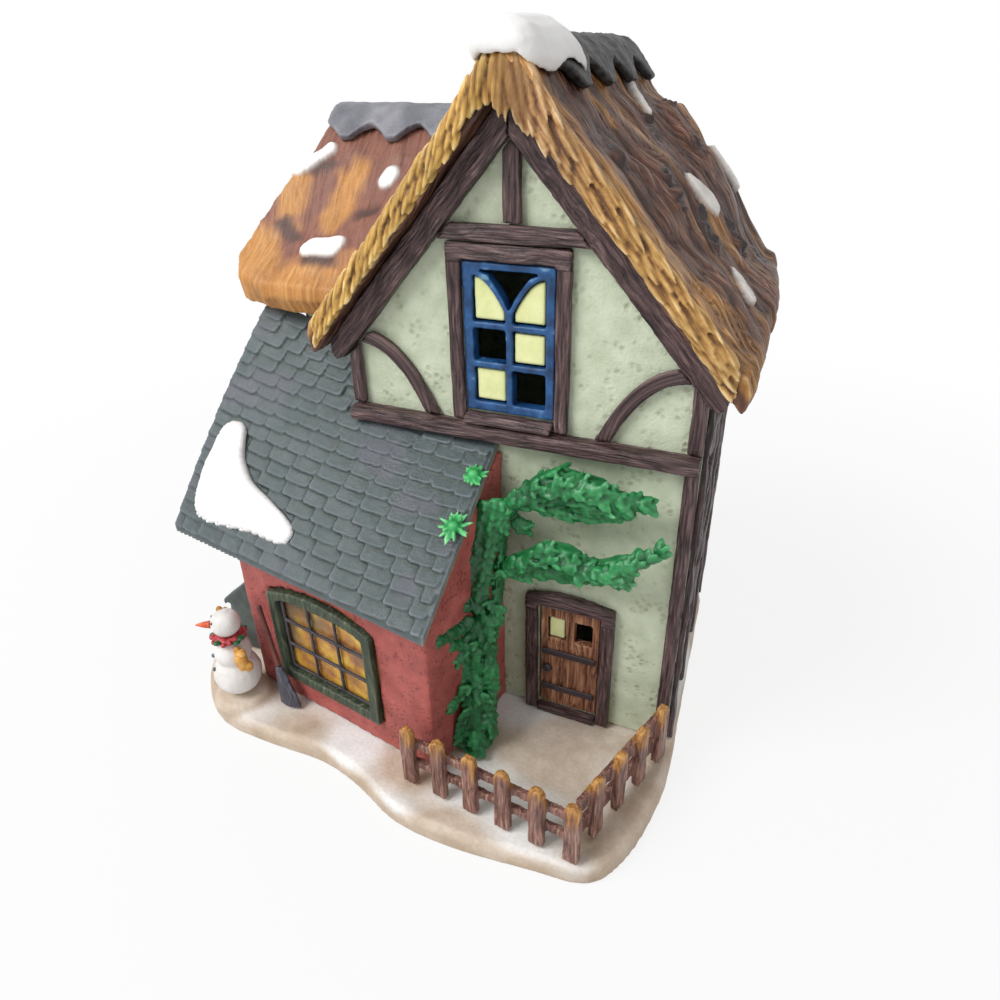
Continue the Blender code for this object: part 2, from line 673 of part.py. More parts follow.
def thatch_wing():
    """The wing's thatch, flared at its left verge and cut to the main roof."""
    half = WING_DEPTH / 2 + WING_EAVE
    offsets = [half, half - 0.4, half - 2.6, half - 7, half - 13, half - 19, half - 25, 5, 0]
    shoulder = half - 2.6
    edge = []
    for offset in offsets:
        y = WING_RIDGE_Y - offset
        top = wing_top(y) if offset <= shoulder else None
        if offset == half:
            top = wing_top(WING_RIDGE_Y - shoulder) - 4.6
        elif offset == half - 0.4:
            top = wing_top(WING_RIDGE_Y - shoulder) - 1.6
        edge.append((y, top))
    section = edge + [(2 * WING_RIDGE_Y - y, z) for y, z in edge[-2::-1]]
    shares = [0.0, 0.02, 0.06, 0.2, 0.36, 0.52, 1.0]
    right = -10.0
    top, bottom = [], []
    for share in shares:
        droop = 1.0 if share == 0 else (0.3 if share == 0.02 else 0.0)
        row_top, row_bottom = [], []
        for i, (y, z) in enumerate(section):
            reach = abs(y - WING_RIDGE_Y) / half
            corner = WING_CORNER * (max(0.0, reach - 0.88) / 0.12) ** 1.5
            x = wing_left_edge(y) + corner
            x += share * (right - x)
            outer = min(i, len(section) - 1 - i)
            under = math.copysign(half * 0.93 - 0.7 * outer, y - WING_RIDGE_Y)
            under = WING_RIDGE_Y + (under if outer < 3 else (y - WING_RIDGE_Y) * 0.93)
            row_top.append((x, y, z - droop + wing_swell(x, y) * WING_STEEP))
            row_bottom.append((x, under, wing_line(under)))
        top.append(row_top)
        bottom.append(row_bottom)
    thatch = node("wing_thatch", *slab(top, bottom), THATCH, smooth=True)
    boolean(thatch, [cutter("cut_wing_thatch", roof_envelope(GAP))])


def scallop(distance, step):
    """Reach of a ridge cap's lower edge, in waves along the ridge."""
    return CAP_REACH - CAP_WAVE / 2 * (1 + math.cos(2 * math.pi * distance / step))


def ridge_cap(name, start, end, step, surface, place):
    """A saddle over a ridge from start to end, its lower edges waved."""
    count = max(2, round((end - start) / step * 5))
    rows_top, rows_bottom = [], []
    for k in range(count + 1):
        here = start + (end - start) * k / count
        reach = scallop(here - start, step)
        shares = [-1.0, -0.8, -0.6, -0.4, -0.2, 0.0, 0.2, 0.4, 0.6, 0.8, 1.0]
        rows_top.append([place(here, *raised(surface, s * reach, GAP + CAP_THICKNESS))
                         for s in shares])
        rows_bottom.append([place(here, *raised(surface, s * reach, GAP)) for s in shares])
    return node(name, *slab(rows_top, rows_bottom), RIDGE_GREY, smooth=True)


def ridge_caps():
    """The grey caps over both ridges."""
    ridge_cap("ridge_cap_main", SNOW_START + SNOW_BEFORE_CAP, HOUSE_DEPTH + VERGE_BACK - 8, CAP_STEP_MAIN,
              thatch_top, lambda here, off, z: (off, here, z))
    wing = ridge_cap("ridge_cap_wing", wing_left_edge(WING_RIDGE_Y) + 1, -12.0, CAP_STEP_WING,
                     lambda off: wing_top(WING_RIDGE_Y + off),
                     lambda here, off, z: (here, WING_RIDGE_Y + off, z))
    boolean(wing, [cutter("cut_wing_cap", roof_envelope(GAP * 2))])


def slate_roof():
    """The lean-to roof in stepped courses, on one twisted surface."""
    top_y = WING_FRONT - GAP
    columns = 14
    stops = []
    for row in range(SLATE_ROWS):
        stops.append((row / SLATE_ROWS, SLATE_STEP))
        stops.append(((row + 0.96) / SLATE_ROWS, 0.0))
    stops.append((1.0, 0.0))
    top, bottom = [], []
    for share, lift in stops:
        row_top, row_bottom = [], []
        for c in range(columns + 1):
            across = c / columns
            eave_x = SLATE_EAVE_RIGHT[0] + (SLATE_EAVE_LEFT[0] - SLATE_EAVE_RIGHT[0]) * across
            top_x = SLATE_TOP_RIGHT + (SLATE_TOP_LEFT - SLATE_TOP_RIGHT) * across
            x = eave_x + (top_x - eave_x) * share
            y = slate_eave_y(eave_x) + (top_y - slate_eave_y(eave_x)) * share
            z = slate_height(x, y)
            row_top.append((x, y, z + lift))
            row_bottom.append((x, y, z - SLATE_THICKNESS))
        top.append(row_top)
        bottom.append(row_bottom)
    verts, faces = slab(top, bottom)
    halves = [half for face in faces for half in
              ([face] if len(face) == 3 else [face[:3], (face[0], *face[2:])])]
    roof = node("slate_roof", verts, halves, SLATE)
    house = block((-HALF - GAP, -GAP, 0), (HALF, 40, 140))
    beam = block((-HALF - GAP, -JETTY_PROUD - 2 * GAP, JETTY_BOTTOM - GAP), (HALF, 5, 140))
    boolean(roof, [cutter("cut_slate_house", house), cutter("cut_slate_beam", beam),
                   cutter("cut_slate_wing", wing_envelope(GAP))])


def shop():
    """The lean-to's walls, open at the back and cut to the slate roof's underside."""
    reach_right = shop_back(0, -GAP)
    reach_left = shop_back(SHOP_LENGTH, WING_FRONT - GAP)
    back_right = shop_point(0, reach_right)
    back_left = shop_point(SHOP_LENGTH, reach_left)
    plan = [shop_point(0), back_right, (-HALF - GAP, -GAP), (-HALF - GAP, WING_FRONT - GAP),
            back_left, shop_point(SHOP_LENGTH)]
    walls = node("shop_walls", *along_z(plan, FOOT, SLATE_TOP_HEIGHT + 30), BRICK_RED)
    hollow = in_shop(block((SHOP_WALL, SHOP_WALL, -5), (SHOP_LENGTH - SHOP_WALL, 90, 140)))
    window = in_shop(along_y(shop_window_outline(GAP),
                             -5, SHOP_WALL + 2))
    drop = SLATE_THICKNESS + GAP * 1.6
    xs = [6.0 - 10.0 * c for c in range(11)]
    ys = [-46.0 + 10.0 * c for c in range(8)]
    under = [[(x, y, slate_height(x, y) - drop) for x in xs] for y in ys]
    above = [[(x, y, 200.0) for x in xs] for y in ys]
    beam = block((-HALF - GAP, -JETTY_PROUD - 2 * GAP, JETTY_BOTTOM - GAP), (HALF, 5, APEX_HEIGHT))
    boolean(walls, [cutter("cut_shop_hollow", hollow), cutter("cut_shop_window", window),
                    cutter("cut_shop_roof", slab(above, under)), cutter("cut_shop_beam", beam)])


def shop_window_outline(grow=0.0):
    """Outline of the shop window with its arched head, grown by a clearance."""
    start, width = SHOP_WINDOW_START - grow, SHOP_WINDOW_WIDTH + 2 * grow
    top = SHOP_WINDOW_BOTTOM + SHOP_WINDOW_HEIGHT + grow
    outline = [(start, SHOP_WINDOW_BOTTOM - grow), (start + width, SHOP_WINDOW_BOTTOM - grow)]
    for k in range(11):
        share = 1 - k / 10
        outline.append((start + width * share, top + SHOP_ARCH * (1 - (2 * share - 1) ** 2)))
    return outline


def shop_window():
    """Green frame, leading and amber glazing of the shop window."""
    low, high = SHOP_WINDOW_BOTTOM, SHOP_WINDOW_BOTTOM + SHOP_WINDOW_HEIGHT
    left = SHOP_WINDOW_START + SHOP_FRAME_WIDTH
    right = SHOP_WINDOW_START + SHOP_WINDOW_WIDTH - SHOP_FRAME_WIDTH
    bottom = low + SHOP_FRAME_WIDTH
    outer = shop_window_outline()
    inner = [(left, bottom), (right, bottom)]

    def head(at):
        """Height of the opening's flat head, rounded down at both corners."""
        return high - SHOP_HEAD_DROP - SHOP_HEAD_ROUND * abs((2 * at - left - right) / (right - left)) ** 5
    for k in range(11):
        at = right + (left - right) * k / 10
        inner.append((at, head(at)))
    frame = node("shop_window_frame", *in_shop(along_y(outer, -SHOP_FRAME_PROUD, LEAD_DEPTH)),
                 WINDOW_GREEN)
    boolean(frame, [cutter("cut_shop_frame", in_shop(along_y(inner, -6, 6)))])
    glass_front = LEAD_DEPTH + GAP
    glazing = in_shop(along_y(outer, glass_front, glass_front + GLAZING_THICKNESS))
    node("shop_window_glazing", *glazing, AMBER)
    lead_inner = [(x + math.copysign(GAP, (left + right) / 2 - x),
                   z - GAP if z > bottom else z + GAP) for x, z in inner]
    lead = node("shop_window_leading", *in_shop(along_y(lead_inner, 0, LEAD_DEPTH)), LEADING)
    cell_width = (right - left - 2 * GAP - 4 * LEAD) / 3
    cell_height = (high - SHOP_HEAD_DROP - bottom - 2 * GAP - 4 * LEAD) / 3
    cells = []
    for column in range(3):
        for row in range(3):
            x = left + GAP + LEAD + column * (cell_width + LEAD)
            z = bottom + GAP + LEAD + row * (cell_height + LEAD)
            top = z + cell_height
            if row == 2:
                outline = [(x, z), (x + cell_width, z)]
                for share in (1.0, 0.8, 0.5, 0.2, 0.0):
                    at = x + cell_width * share
                    outline.append((at, head(at) - GAP - LEAD))
            else:
                outline = [(x, z), (x + cell_width, z), (x + cell_width, top), (x, top)]
            cells.append(in_shop(along_y(outline, -4, 4)))
    boolean(lead, [cutter("cut_leading", joined(*cells))])


def shed():
    """The small slate-roofed lean-to at the shop's left end."""
    right = min(shop_point(SHOP_LENGTH, shop_back(SHOP_LENGTH, y))[0] for y in (SHED_FRONT, SHED_BACK))
    right -= GAP
    left = right - SHED_WIDTH

    def top(x):
        return SHED_HIGH - (SHED_HIGH - SHED_LOW) * (right - x) / SHED_WIDTH
    low = left - SHED_OVERHANG
    outline = [(left, FOOT), (right, FOOT), (right, top(right) + SHED_ROOF_THICKNESS),
               (low, top(low) + SHED_ROOF_THICKNESS), (low, top(low)), (left, top(left))]
    node("side_shed", *along_y(outline, SHED_FRONT, SHED_BACK), SLATE)


def timbers():
    """The gable's half-timbering, each member a piece of its own."""
    proud = -GAP - TIMBER_PROUD
    for name, side in (("barge_left", -1), ("barge_right", 1)):
        outer, inner = GAP, GAP + BARGE_WIDTH
        near = GAP / 2
        outline = [(side * near, roof_line(near, outer))]
        for back, share in BARGE_END:
            x = BARGE_TIP - BARGE_SHORT - back - BARGE_RAKE * share
            outline.append((side * x, roof_line(x, outer + share * BARGE_WIDTH)))
        outline.append((side * near, roof_line(near, inner)))
        node(name, *along_y(outline, -GAP - BARGE_PROUD, -GAP), WOOD)
    inside = GAP * 2 + BARGE_WIDTH
    low, high = roof_half_width(COLLAR_BOTTOM, inside), roof_half_width(COLLAR_TOP, inside)
    collar = [(-low, COLLAR_BOTTOM), (low, COLLAR_BOTTOM), (high, COLLAR_TOP), (-high, COLLAR_TOP)]
    node("collar_beam", *along_y(collar, proud - 0.4, -GAP), WOOD)
    king = KING_POST_WIDTH / 2
    top = roof_line(king, inside)
    node("king_post", *along_y([(-king, COLLAR_TOP + GAP), (king, COLLAR_TOP + GAP), (king, top),
                                (0, roof_line(0, inside)), (-king, top)], proud, -GAP), WOOD)
    node("jetty_beam", *block((-HALF, -GAP - JETTY_PROUD, JETTY_BOTTOM), (HALF, -GAP, JETTY_TOP)), WOOD)
    left = CASEMENT_X - CASEMENT_WIDTH / 2 - GAP
    right = CASEMENT_X + CASEMENT_WIDTH / 2 + GAP
    post_top = COLLAR_BOTTOM - GAP
    head = CASEMENT_TOP + GAP
    surround = [(left - TIMBER, SILL_BOTTOM), (left, SILL_BOTTOM), (left, head), (right, head),
                (right, SILL_BOTTOM), (right + TIMBER, SILL_BOTTOM), (right + TIMBER, post_top),
                (left - TIMBER, post_top)]
    node("window_surround", *along_y(surround, proud, -GAP), WOOD)
    sill = [(-GAP, SILL_BOTTOM), (-GAP - SILL_PROUD, SILL_BOTTOM), (-GAP - SILL_PROUD, SILL_BOTTOM + 1.2),
            (-GAP - CASEMENT_PROUD - GAP, SILL_BOTTOM + SILL_HEIGHT), (-GAP, SILL_BOTTOM + SILL_HEIGHT)]
    node("window_sill", *along_x(sill, left + GAP, right - GAP), WOOD)
    brace_top = roof_line(HALF - TIMBER, inside) + TIMBER / 2
    curve = smooth_path([(across * HALF, SILL_BOTTOM + up * (brace_top - SILL_BOTTOM), 0)
                         for across, up in BRACE], 3)
    for end, side in (("left", -1), ("right", 1)):
        corner = HALF - TIMBER - GAP
        edges = ([], [])
        for k, here in enumerate(curve):
            ahead = curve[min(k + 1, len(curve) - 1)] - curve[max(k - 1, 0)]
            out = Vector((ahead.y, -ahead.x, 0)).normalized() * TIMBER / 2
            for edge, spot in zip(edges, (here + out, here - out)):
                x = min(spot.x, corner)
                edge.append((side * x, max(SILL_BOTTOM, min(spot.y, roof_line(x, inside)))))
        arc = []
        for spot in edges[0] + edges[1][::-1]:
            if all(math.dist(spot, other) > GAP / 2 for other in arc):
                arc.append(spot)
        node("brace_" + end, *along_y(arc, proud, -GAP), WOOD)
        post = [(side * (HALF - TIMBER), SILL_BOTTOM), (side * HALF, SILL_BOTTOM),
                (side * HALF, roof_line(HALF, inside)),
                (side * (HALF - TIMBER), roof_line(HALF - TIMBER, inside))]
        node("corner_post_" + end, *along_y(post, proud, -GAP), WOOD)
    node("corner_post_lower", *block((HALF - TIMBER, proud, FOOT + 6), (HALF, -GAP, JETTY_BOTTOM - GAP)),
         WOOD)


def casement():
    """The blue casement with a branching head, some cells open and some filled."""
    half = CASEMENT_WIDTH / 2
    front, back = -CASEMENT_PROUD, CASEMENT_DEPTH - 1
    frame = node("casement_frame", *block((CASEMENT_X - half, front, CASEMENT_BOTTOM),
                                          (CASEMENT_X + half, back, CASEMENT_TOP)), CASEMENT_BLUE)
    low, high = CASEMENT_BOTTOM + CASEMENT_RAIL, CASEMENT_TOP - CASEMENT_RAIL * 0.75
    left, right = CASEMENT_X - half + CASEMENT_RAIL, CASEMENT_X + half - CASEMENT_RAIL
    bar = CASEMENT_BAR / 2
    row = (high - low) * 0.3
    first, second = low + row, low + 2 * row
    cells = {
        "low_left": [(left, low), (CASEMENT_X - bar, low), (CASEMENT_X - bar, first - bar),
                     (left, first - bar)],
        "low_right": [(CASEMENT_X + bar, low), (right, low), (right, first - bar),
                      (CASEMENT_X + bar, first - bar)],
        "mid_left": [(left, first + bar), (CASEMENT_X - bar, first + bar),
                     (CASEMENT_X - bar, second - bar), (left, second - bar)],
        "mid_right": [(CASEMENT_X + bar, first + bar), (right, first + bar), (right, second - bar),
                      (CASEMENT_X + bar, second - bar)],
    }

    def limb(share, offset):
        """A point on one curved limb of the head, from the mullion out to the frame."""
        reach = (right - CASEMENT_X) * share
        rise = (high - second - bar) * (0.12 + 0.88 * math.sin(share * math.pi / 2) ** 0.9)
        return reach, second + bar + rise + offset
    steps = 7
    shares = [k / steps for k in range(steps + 1)]
    upper = [limb(s, CASEMENT_BAR * (0.9 - 0.6 * s)) for s in shares]
    lower = [limb(s, -CASEMENT_BAR * (0.55 + 0.3 * s)) for s in shares]
    head = [(CASEMENT_X + x, min(z, high)) for x, z in upper if z < high - 0.2]
    head = head + [(right - 0.6, high)]
    mirrored = [(2 * CASEMENT_X - x, z) for x, z in head[::-1]]
    cells["head"] = mirrored + head[1:]
    side_cell = [(CASEMENT_X + bar + 0.1, second + bar), (right, second + bar)]
    arc = [(CASEMENT_X + x, z) for x, z in lower if x > bar + 0.3]
    arc[-1] = (right, arc[-1][1])
    side_cell += arc[::-1]
    side_cell.append((CASEMENT_X + bar + 0.1, arc[0][1] - 0.9))
    cells["upper_right"] = side_cell
    cells["upper_left"] = [(2 * CASEMENT_X - x, z) for x, z in side_cell]
    boolean(frame, [cutter("cut_casement", joined(*(along_y(c, -6, 8) for c in cells.values())))])
    filled = {"casement_pane_upper_left": "upper_left", "casement_pane_upper_right": "upper_right",
              "casement_pane_right": "mid_right", "casement_pane_left": "low_left"}
    for name, key in filled.items():
        outline = cells[key]
        centre_x = sum(x for x, _ in outline) / len(outline)
        centre_z = sum(z for _, z in outline) / len(outline)
        wide = max(abs(x - centre_x) for x, _ in outline)
        tall = max(abs(z - centre_z) for _, z in outline)
        inset = [(centre_x + (x - centre_x) * (1 - 1.25 * GAP / wide),
                  centre_z + (z - centre_z) * (1 - 1.25 * GAP / tall)) for x, z in outline]
        node(name, *along_y(inset, front + PANE_SETBACK, front + PANE_SETBACK + PANE_THICKNESS),
             PALE_YELLOW)


def door():
    """Planked door with two small lights, in a frame with an arched head."""
    half = DOOR_WIDTH / 2
    outer_half = half + DOOR_FRAME_WIDTH
    head = DOOR_TOP + DOOR_FRAME_WIDTH
    outline = [(DOOR_X - outer_half, FOOT), (DOOR_X + outer_half, FOOT)]
    steps = 8
    for k in range(steps + 1):
        share = 1 - 2 * k / steps
        outline.append((DOOR_X + outer_half * share, head + DOOR_ARCH * (1 - share ** 2) - DOOR_ARCH / 2))
    frame = node("door_frame", *along_y(outline, -GAP - DOOR_FRAME_PROUD, -GAP), WOOD)
    boolean(frame, [cutter("cut_door_frame", block((DOOR_X - half - GAP, -9, 0),
                                                   (DOOR_X + half + GAP, 5, DOOR_TOP + GAP)))])
    step_low = (DOOR_X - half, -GAP - DOOR_FRAME_PROUD - DOOR_STEP_PROUD, FOOT)
    node("door_step", *block(step_low, (DOOR_X + half, -GAP, FOOT + DOOR_STEP)), WOOD)
    face, groove = -0.6, 0.45
    section = []
    plank = DOOR_WIDTH / DOOR_PLANKS
    for k in range(DOOR_PLANKS):
        x = DOOR_X - half + k * plank
        section += [(x + 0.25, face), (x + plank - 0.25, face)]
        if k < DOOR_PLANKS - 1:
            section.append((x + plank, face + groove))
    section += [(DOOR_X + half, face + DOOR_THICKNESS), (DOOR_X - half, face + DOOR_THICKNESS)]
    leaf = node("door_leaf", *along_z(section, DOOR_BOTTOM, DOOR_TOP), DOOR_BROWN)
    pane_top = DOOR_TOP - DOOR_PANE_TOP
    pane_low = pane_top - DOOR_PANE_HEIGHT
    offset = DOOR_WIDTH * 0.22
    lights = [block((DOOR_X + s * offset - DOOR_PANE_WIDTH / 2, -5, pane_low),
                    (DOOR_X + s * offset + DOOR_PANE_WIDTH / 2, 6, pane_top)) for s in (-1, 1)]
    boolean(leaf, [cutter("cut_door_lights", joined(*lights))])
    inside = DOOR_PANE_WIDTH / 2 - GAP
    node("door_pane", *block((DOOR_X - offset - inside, face + 0.6, pane_low + GAP),
                             (DOOR_X - offset + inside, face + 1.6, pane_top - GAP)), PALE_YELLOW)
    strap_front = face - GAP - STRAP_THICKNESS
    for end, share in (("upper", 0.52), ("lower", 0.16)):
        low = DOOR_BOTTOM + DOOR_HEIGHT * share
        node("door_strap_" + end, *block((DOOR_X - half + 0.8, strap_front, low),
                                         (DOOR_X + half - 0.8, face - GAP, low + STRAP_HEIGHT)), IRON)
    latch_z = DOOR_BOTTOM + DOOR_HEIGHT * 0.38
    node("door_latch", *turned([(1.0, strap_front - 0.4), (1.3, strap_front), (1.3, face - GAP)], 12,
                               (DOOR_X - half + 2.2, 0, latch_z), "Y"), IRON)


def picket(x, y, turn, ground=FOOT, height=PICKET_HEIGHT):
    """One round-topped picket."""
    half = PICKET_WIDTH / 2
    outline = [(-half, 0), (half, 0), (half, height - half)]
    for k in range(1, 6):
        angle = math.pi * k / 6
        outline.append((half * math.cos(angle), height - half + half * math.sin(angle)))
    outline.append((-half, height - half))
    verts, faces = along_y(outline, -PICKET_THICKNESS / 2, PICKET_THICKNESS / 2)
    spin = Matrix.Rotation(turn, 3, "Z")
    return [tuple(spin @ Vector(v) + Vector((x, y, ground))) for v in verts], faces


def rails(start, end, turn, sizes):
    """Two rails let into the backs of a run of pickets."""
    solids = []
    spin = Matrix.Rotation(turn, 3, "Z")
    near = PICKET_THICKNESS / 2 - RAIL_LET_IN
    length = math.dist(start, end)
    for low in sizes[:2]:
        verts, faces = block((0, near, low), (length, near + RAIL_THICKNESS, low + sizes[2]))
        solids.append(([tuple(spin @ Vector(v) + Vector((*start, FOOT))) for v in verts], faces))
    return solids


def fence():
    """The picket fence along the front and the right side, each run one casting with its rails."""
    front = math.atan2(FENCE_CORNER[1] - FENCE_LEFT[1], FENCE_CORNER[0] - FENCE_LEFT[0])
    side = math.atan2(FENCE_BACK[1] - FENCE_CORNER[1], FENCE_BACK[0] - FENCE_CORNER[0])
    ahead = Vector((math.cos(front), math.sin(front)))
    ahead_side = Vector((math.cos(side), math.sin(side)))
    corner = Vector(FENCE_CORNER)
    runs = (
        ("fence_front", FENCE_LEFT, FENCE_CORNER, range(FRONT_PICKETS + 1), FRONT_PICKETS, front,
         Vector(FENCE_LEFT) - ahead * PICKET_WIDTH / 2, corner, FRONT_RAILS),
        ("fence_side", FENCE_CORNER, FENCE_BACK, range(1, SIDE_PICKETS + 1), SIDE_PICKETS, side,
         corner + ahead_side * PICKET_WIDTH, Vector(FENCE_BACK) + ahead_side * PICKET_WIDTH / 2,
         SIDE_RAILS),
    )
    for name, start, end, order, spans, turn, rail_start, rail_end, rail_sizes in runs:
        pickets = []
        for k in order:
            share = k / spans
            x = start[0] + (end[0] - start[0]) * share
            y = start[1] + (end[1] - start[1]) * share
            pickets.append(picket(x, y, turn))
        rail = rails(tuple(rail_start), tuple(rail_end), turn, rail_sizes)
        run = node(name, *rail[0], FENCE_BROWN)
        joins = [cutter(f"add_{name}_{k}", solid) for k, solid in enumerate(pickets + rail[1:])]
        boolean(run, joins, "UNION")


def evergreen():
    """Tree in the corner of the shop, its branches and the sprigs on the slates."""
    trunk = smooth_path(TRUNK_PATH, 4)
    radii = [TRUNK_RADIUS * (2.05 - 1.4 * (k / (len(trunk) - 1)) ** 0.7) for k in range(len(trunk))]
    tree = node("tree_trunk", *tube(trunk, radii, 12, 3, 0.12), EVERGREEN, smooth=True)
    keep_clear = in_shop(block((-GAP, -20, -5), (SHOP_LENGTH, 80, 130)))
    verts, faces = in_shop(block((-3.5, -20, SLATE_EAVE_HEIGHT - 8), (SHOP_LENGTH, 80, 130)))
    boolean(tree, [cutter("cut_tree_shop", keep_clear), cutter("cut_tree_house", grown_house(GAP)),
                   cutter("cut_tree_eave", (verts, faces)),
                   cutter("cut_tree_ground", block((-40, -50, -20), (40, 20, FOOT)))])
    upper = smooth_path(UPPER_BRANCH_PATH, 4)
    swell = [BRANCH_RADIUS * (0.2 + math.sin(math.pi * (k + 0.3) / len(upper)) ** 0.5)
             for k in range(len(upper))]
    leafy = node("branch_upper", *tube(upper, swell, 12, 4, 0.14), EVERGREEN, smooth=True)
    below_beam = block((-HALF, -30, JETTY_BOTTOM - GAP), (HALF, 10, JETTY_TOP + 20))
    house_cut = cutter("cut_branch_house", grown_house(GAP))
    trunk_cut = cutter("cut_branch_trunk", tube(trunk, [r * 1.12 + GAP for r in radii], 12))
    boolean(leafy, [house_cut, trunk_cut, cutter("cut_branch_beam", below_beam)])
    lower = smooth_path(LOWER_BRANCH_PATH, 4)
    swell = [BRANCH_RADIUS * (0.2 + 0.95 * math.sin(math.pi * (k + 0.3) / len(lower)) ** 0.5)
             for k in range(len(lower))]
    leafy = node("branch_lower", *tube(lower, swell, 12, 4, 0.14), EVERGREEN, smooth=True)
    boolean(leafy, [house_cut, trunk_cut])
    for end, x, y in (("upper", *SPRIG_UPPER), ("lower", *SPRIG_LOWER)):
        z = slate_height(x, y) + SLATE_STEP + GAP
        profile = [(SPRIG_RADIUS * 0.9, -0.6), (SPRIG_RADIUS * 1.35, 1.5), (SPRIG_RADIUS * 1.1, 2.8),
                   (SPRIG_RADIUS * 0.5, 3.6)]
        sprig = node("roof_sprig_" + end, *turned(profile, 12, (x, y, z - profile[0][1])),
                     SPRIG_GREEN, smooth=True)
        span = [-4.0, -2.0, 0.0, 2.0, 4.0]
        rise = SLATE_STEP + GAP * 1.4
        top = [[(x + a, y + b, slate_height(x + a, y + b) + rise) for a in span] for b in span]
        low = [[(px, py, pz - 9) for px, py, pz in row] for row in top]
        boolean(sprig, [cutter("cut_sprig_" + end, slab(top, low))])


def ball_profile(radius, centre, low, high, steps):
    """(radius, height) points of a ball between two heights."""
    points = []
    for k in range(steps + 1):
        height = low + (high - low) * k / steps
        reach = max(radius ** 2 - (height - centre) ** 2, 0.16)
        points.append((math.sqrt(reach), height))
    return points


def snowman():
    """Snowman with a broom leaning on the shop wall behind."""
    x, y = SNOWMAN
    ground = MOUND_TOP + GAP
    ball_centre = ground + SNOWMAN_BALL * 0.9
    chest_centre = ball_centre + SNOWMAN_BALL * 0.72 + SNOWMAN_CHEST * 0.62
    waist = ball_centre + SNOWMAN_BALL * 0.74
    shoulder = chest_centre + SNOWMAN_CHEST * 0.78
    profile = ball_profile(SNOWMAN_BALL, ball_centre, ground, waist, 8)
    profile += ball_profile(SNOWMAN_CHEST, chest_centre, waist + 0.25, shoulder, 6)
    node("snowman_body", *turned(profile, 20, (x, y, 0)), SNOW, smooth=True)
    collar_radius = math.sqrt(SNOWMAN_CHEST ** 2 - (shoulder - chest_centre) ** 2)
    bead = 1.0
    collar_z = shoulder + GAP
    node("snowman_collar", *turned([(collar_radius + 0.2, collar_z), (collar_radius + bead, collar_z + 0.5),
                                    (collar_radius + bead, collar_z + 1.3), (collar_radius, collar_z + 1.8)],
                                   20, (x, y, 0)), HOLLY)
    neck = collar_z + 1.8 + GAP
    head_centre = neck + SNOWMAN_HEAD * 0.72
    node("snowman_head", *turned(ball_profile(SNOWMAN_HEAD, head_centre, neck,
                                              head_centre + SNOWMAN_HEAD * 0.985, 9), 20, (x, y, 0)),
         SNOW, smooth=True)
    aim = Vector((-0.93, -0.32, -0.1)).normalized()
    start = Vector((x, y, head_centre - 0.4)) + aim * (SNOWMAN_HEAD + GAP)
    nose = [tuple(start + aim * d) for d in (0.0, 1.4, 3.0, 4.4)]
    node("snowman_nose", *tube(nose, [1.15, 0.95, 0.6, 0.2], 10), CARROT, smooth=True)
    side = Vector((x, y, chest_centre)) + Vector((0.86, -0.5, 0)) * (SNOWMAN_CHEST + GAP + 1.5)
    hand = [tuple(side + Vector(d)) for d in ((0.2, 0, 2.6), (0.0, 0, 1.2), (0.1, 0, -0.6),
                                              (0.5, -0.2, -2.2))]
    node("snowman_mitten", *tube(hand, [0.9, 1.5, 1.45, 0.8], 12), TAN, smooth=True)
    foot_z = FOOT
    top_z = foot_z + BROOM_HEAD_HEIGHT
    lean = (BROOM_HANDLE_TOP - foot_z)

    def on_broom(z):
        share = (z - foot_z) / lean
        return (BROOM_FOOT[0] + (BROOM_TOP[0] - BROOM_FOOT[0]) * share,
                BROOM_FOOT[1] + (BROOM_TOP[1] - BROOM_FOOT[1]) * share, z)
    levels = [(foot_z, 3.3), (foot_z + 4, 2.9), (top_z - 3.0, 1.7), (top_z - 1.4, 1.3), (top_z, 1.1)]
    rings = []
    for z, reach in levels:
        cx, cy, _ = on_broom(z)
        rings.append([(cx + reach * math.cos(a), cy + min(reach, 1.4) * 0.8 * math.sin(a), z)
                      for a in (2 * math.pi * k / 14 for k in range(14))])
    node("broom_head", *loft(rings), BROOM_GREY, smooth=True)
    node("broom_handle", *tube([on_broom(top_z + GAP), on_broom(BROOM_HANDLE_TOP)],
                               [BROOM_HANDLE_RADIUS] * 2, 10), FENCE_BROWN, smooth=True)


def blob(points, surface, lift, height, steps=5):
    """A snow patch on a sloping surface, from its plan outline."""
    loop = smooth_loop([(x, y, 0) for x, y in points], steps)
    cx = sum(p[0] for p in loop) / len(loop)
    cy = sum(p[1] for p in loop) / len(loop)
    shares = [1.0, 0.86, 0.6, 0.3]
    rings = []
    for share in shares[::-1]:
        rings.append([(cx + (x - cx) * share, cy + (y - cy) * share) for x, y, _ in loop])

    def at(ring, share, rise):
        return [(x, y, surface(x, y) + lift + rise * math.sqrt(max(0.0, 1 - share ** 4))) for x, y in ring]
    rim = 0.25
    verts = []
    for ring, share in zip(rings, shares[::-1]):
        verts += at(ring, 1.0, 0)
    count = len(loop)
    for ring, share in zip(rings[::-1], shares):
        verts += [(x, y, z + rim) for x, y, z in at(ring, share, height)]
    faces = []
    total = 2 * len(shares)
    for k in range(total - 1):
        for i in range(count):
            j = (i + 1) % count
            faces.append((k * count + i, k * count + j, (k + 1) * count + j, (k + 1) * count + i))
    verts.append((cx, cy, surface(cx, cy) + lift))
    verts.append((cx, cy, surface(cx, cy) + lift + rim + height))
    for i in range(count):
        j = (i + 1) % count
        faces.append((len(verts) - 2, i, j))
        faces.append((len(verts) - 1, (total - 1) * count + i, (total - 1) * count + j))
    return verts, faces


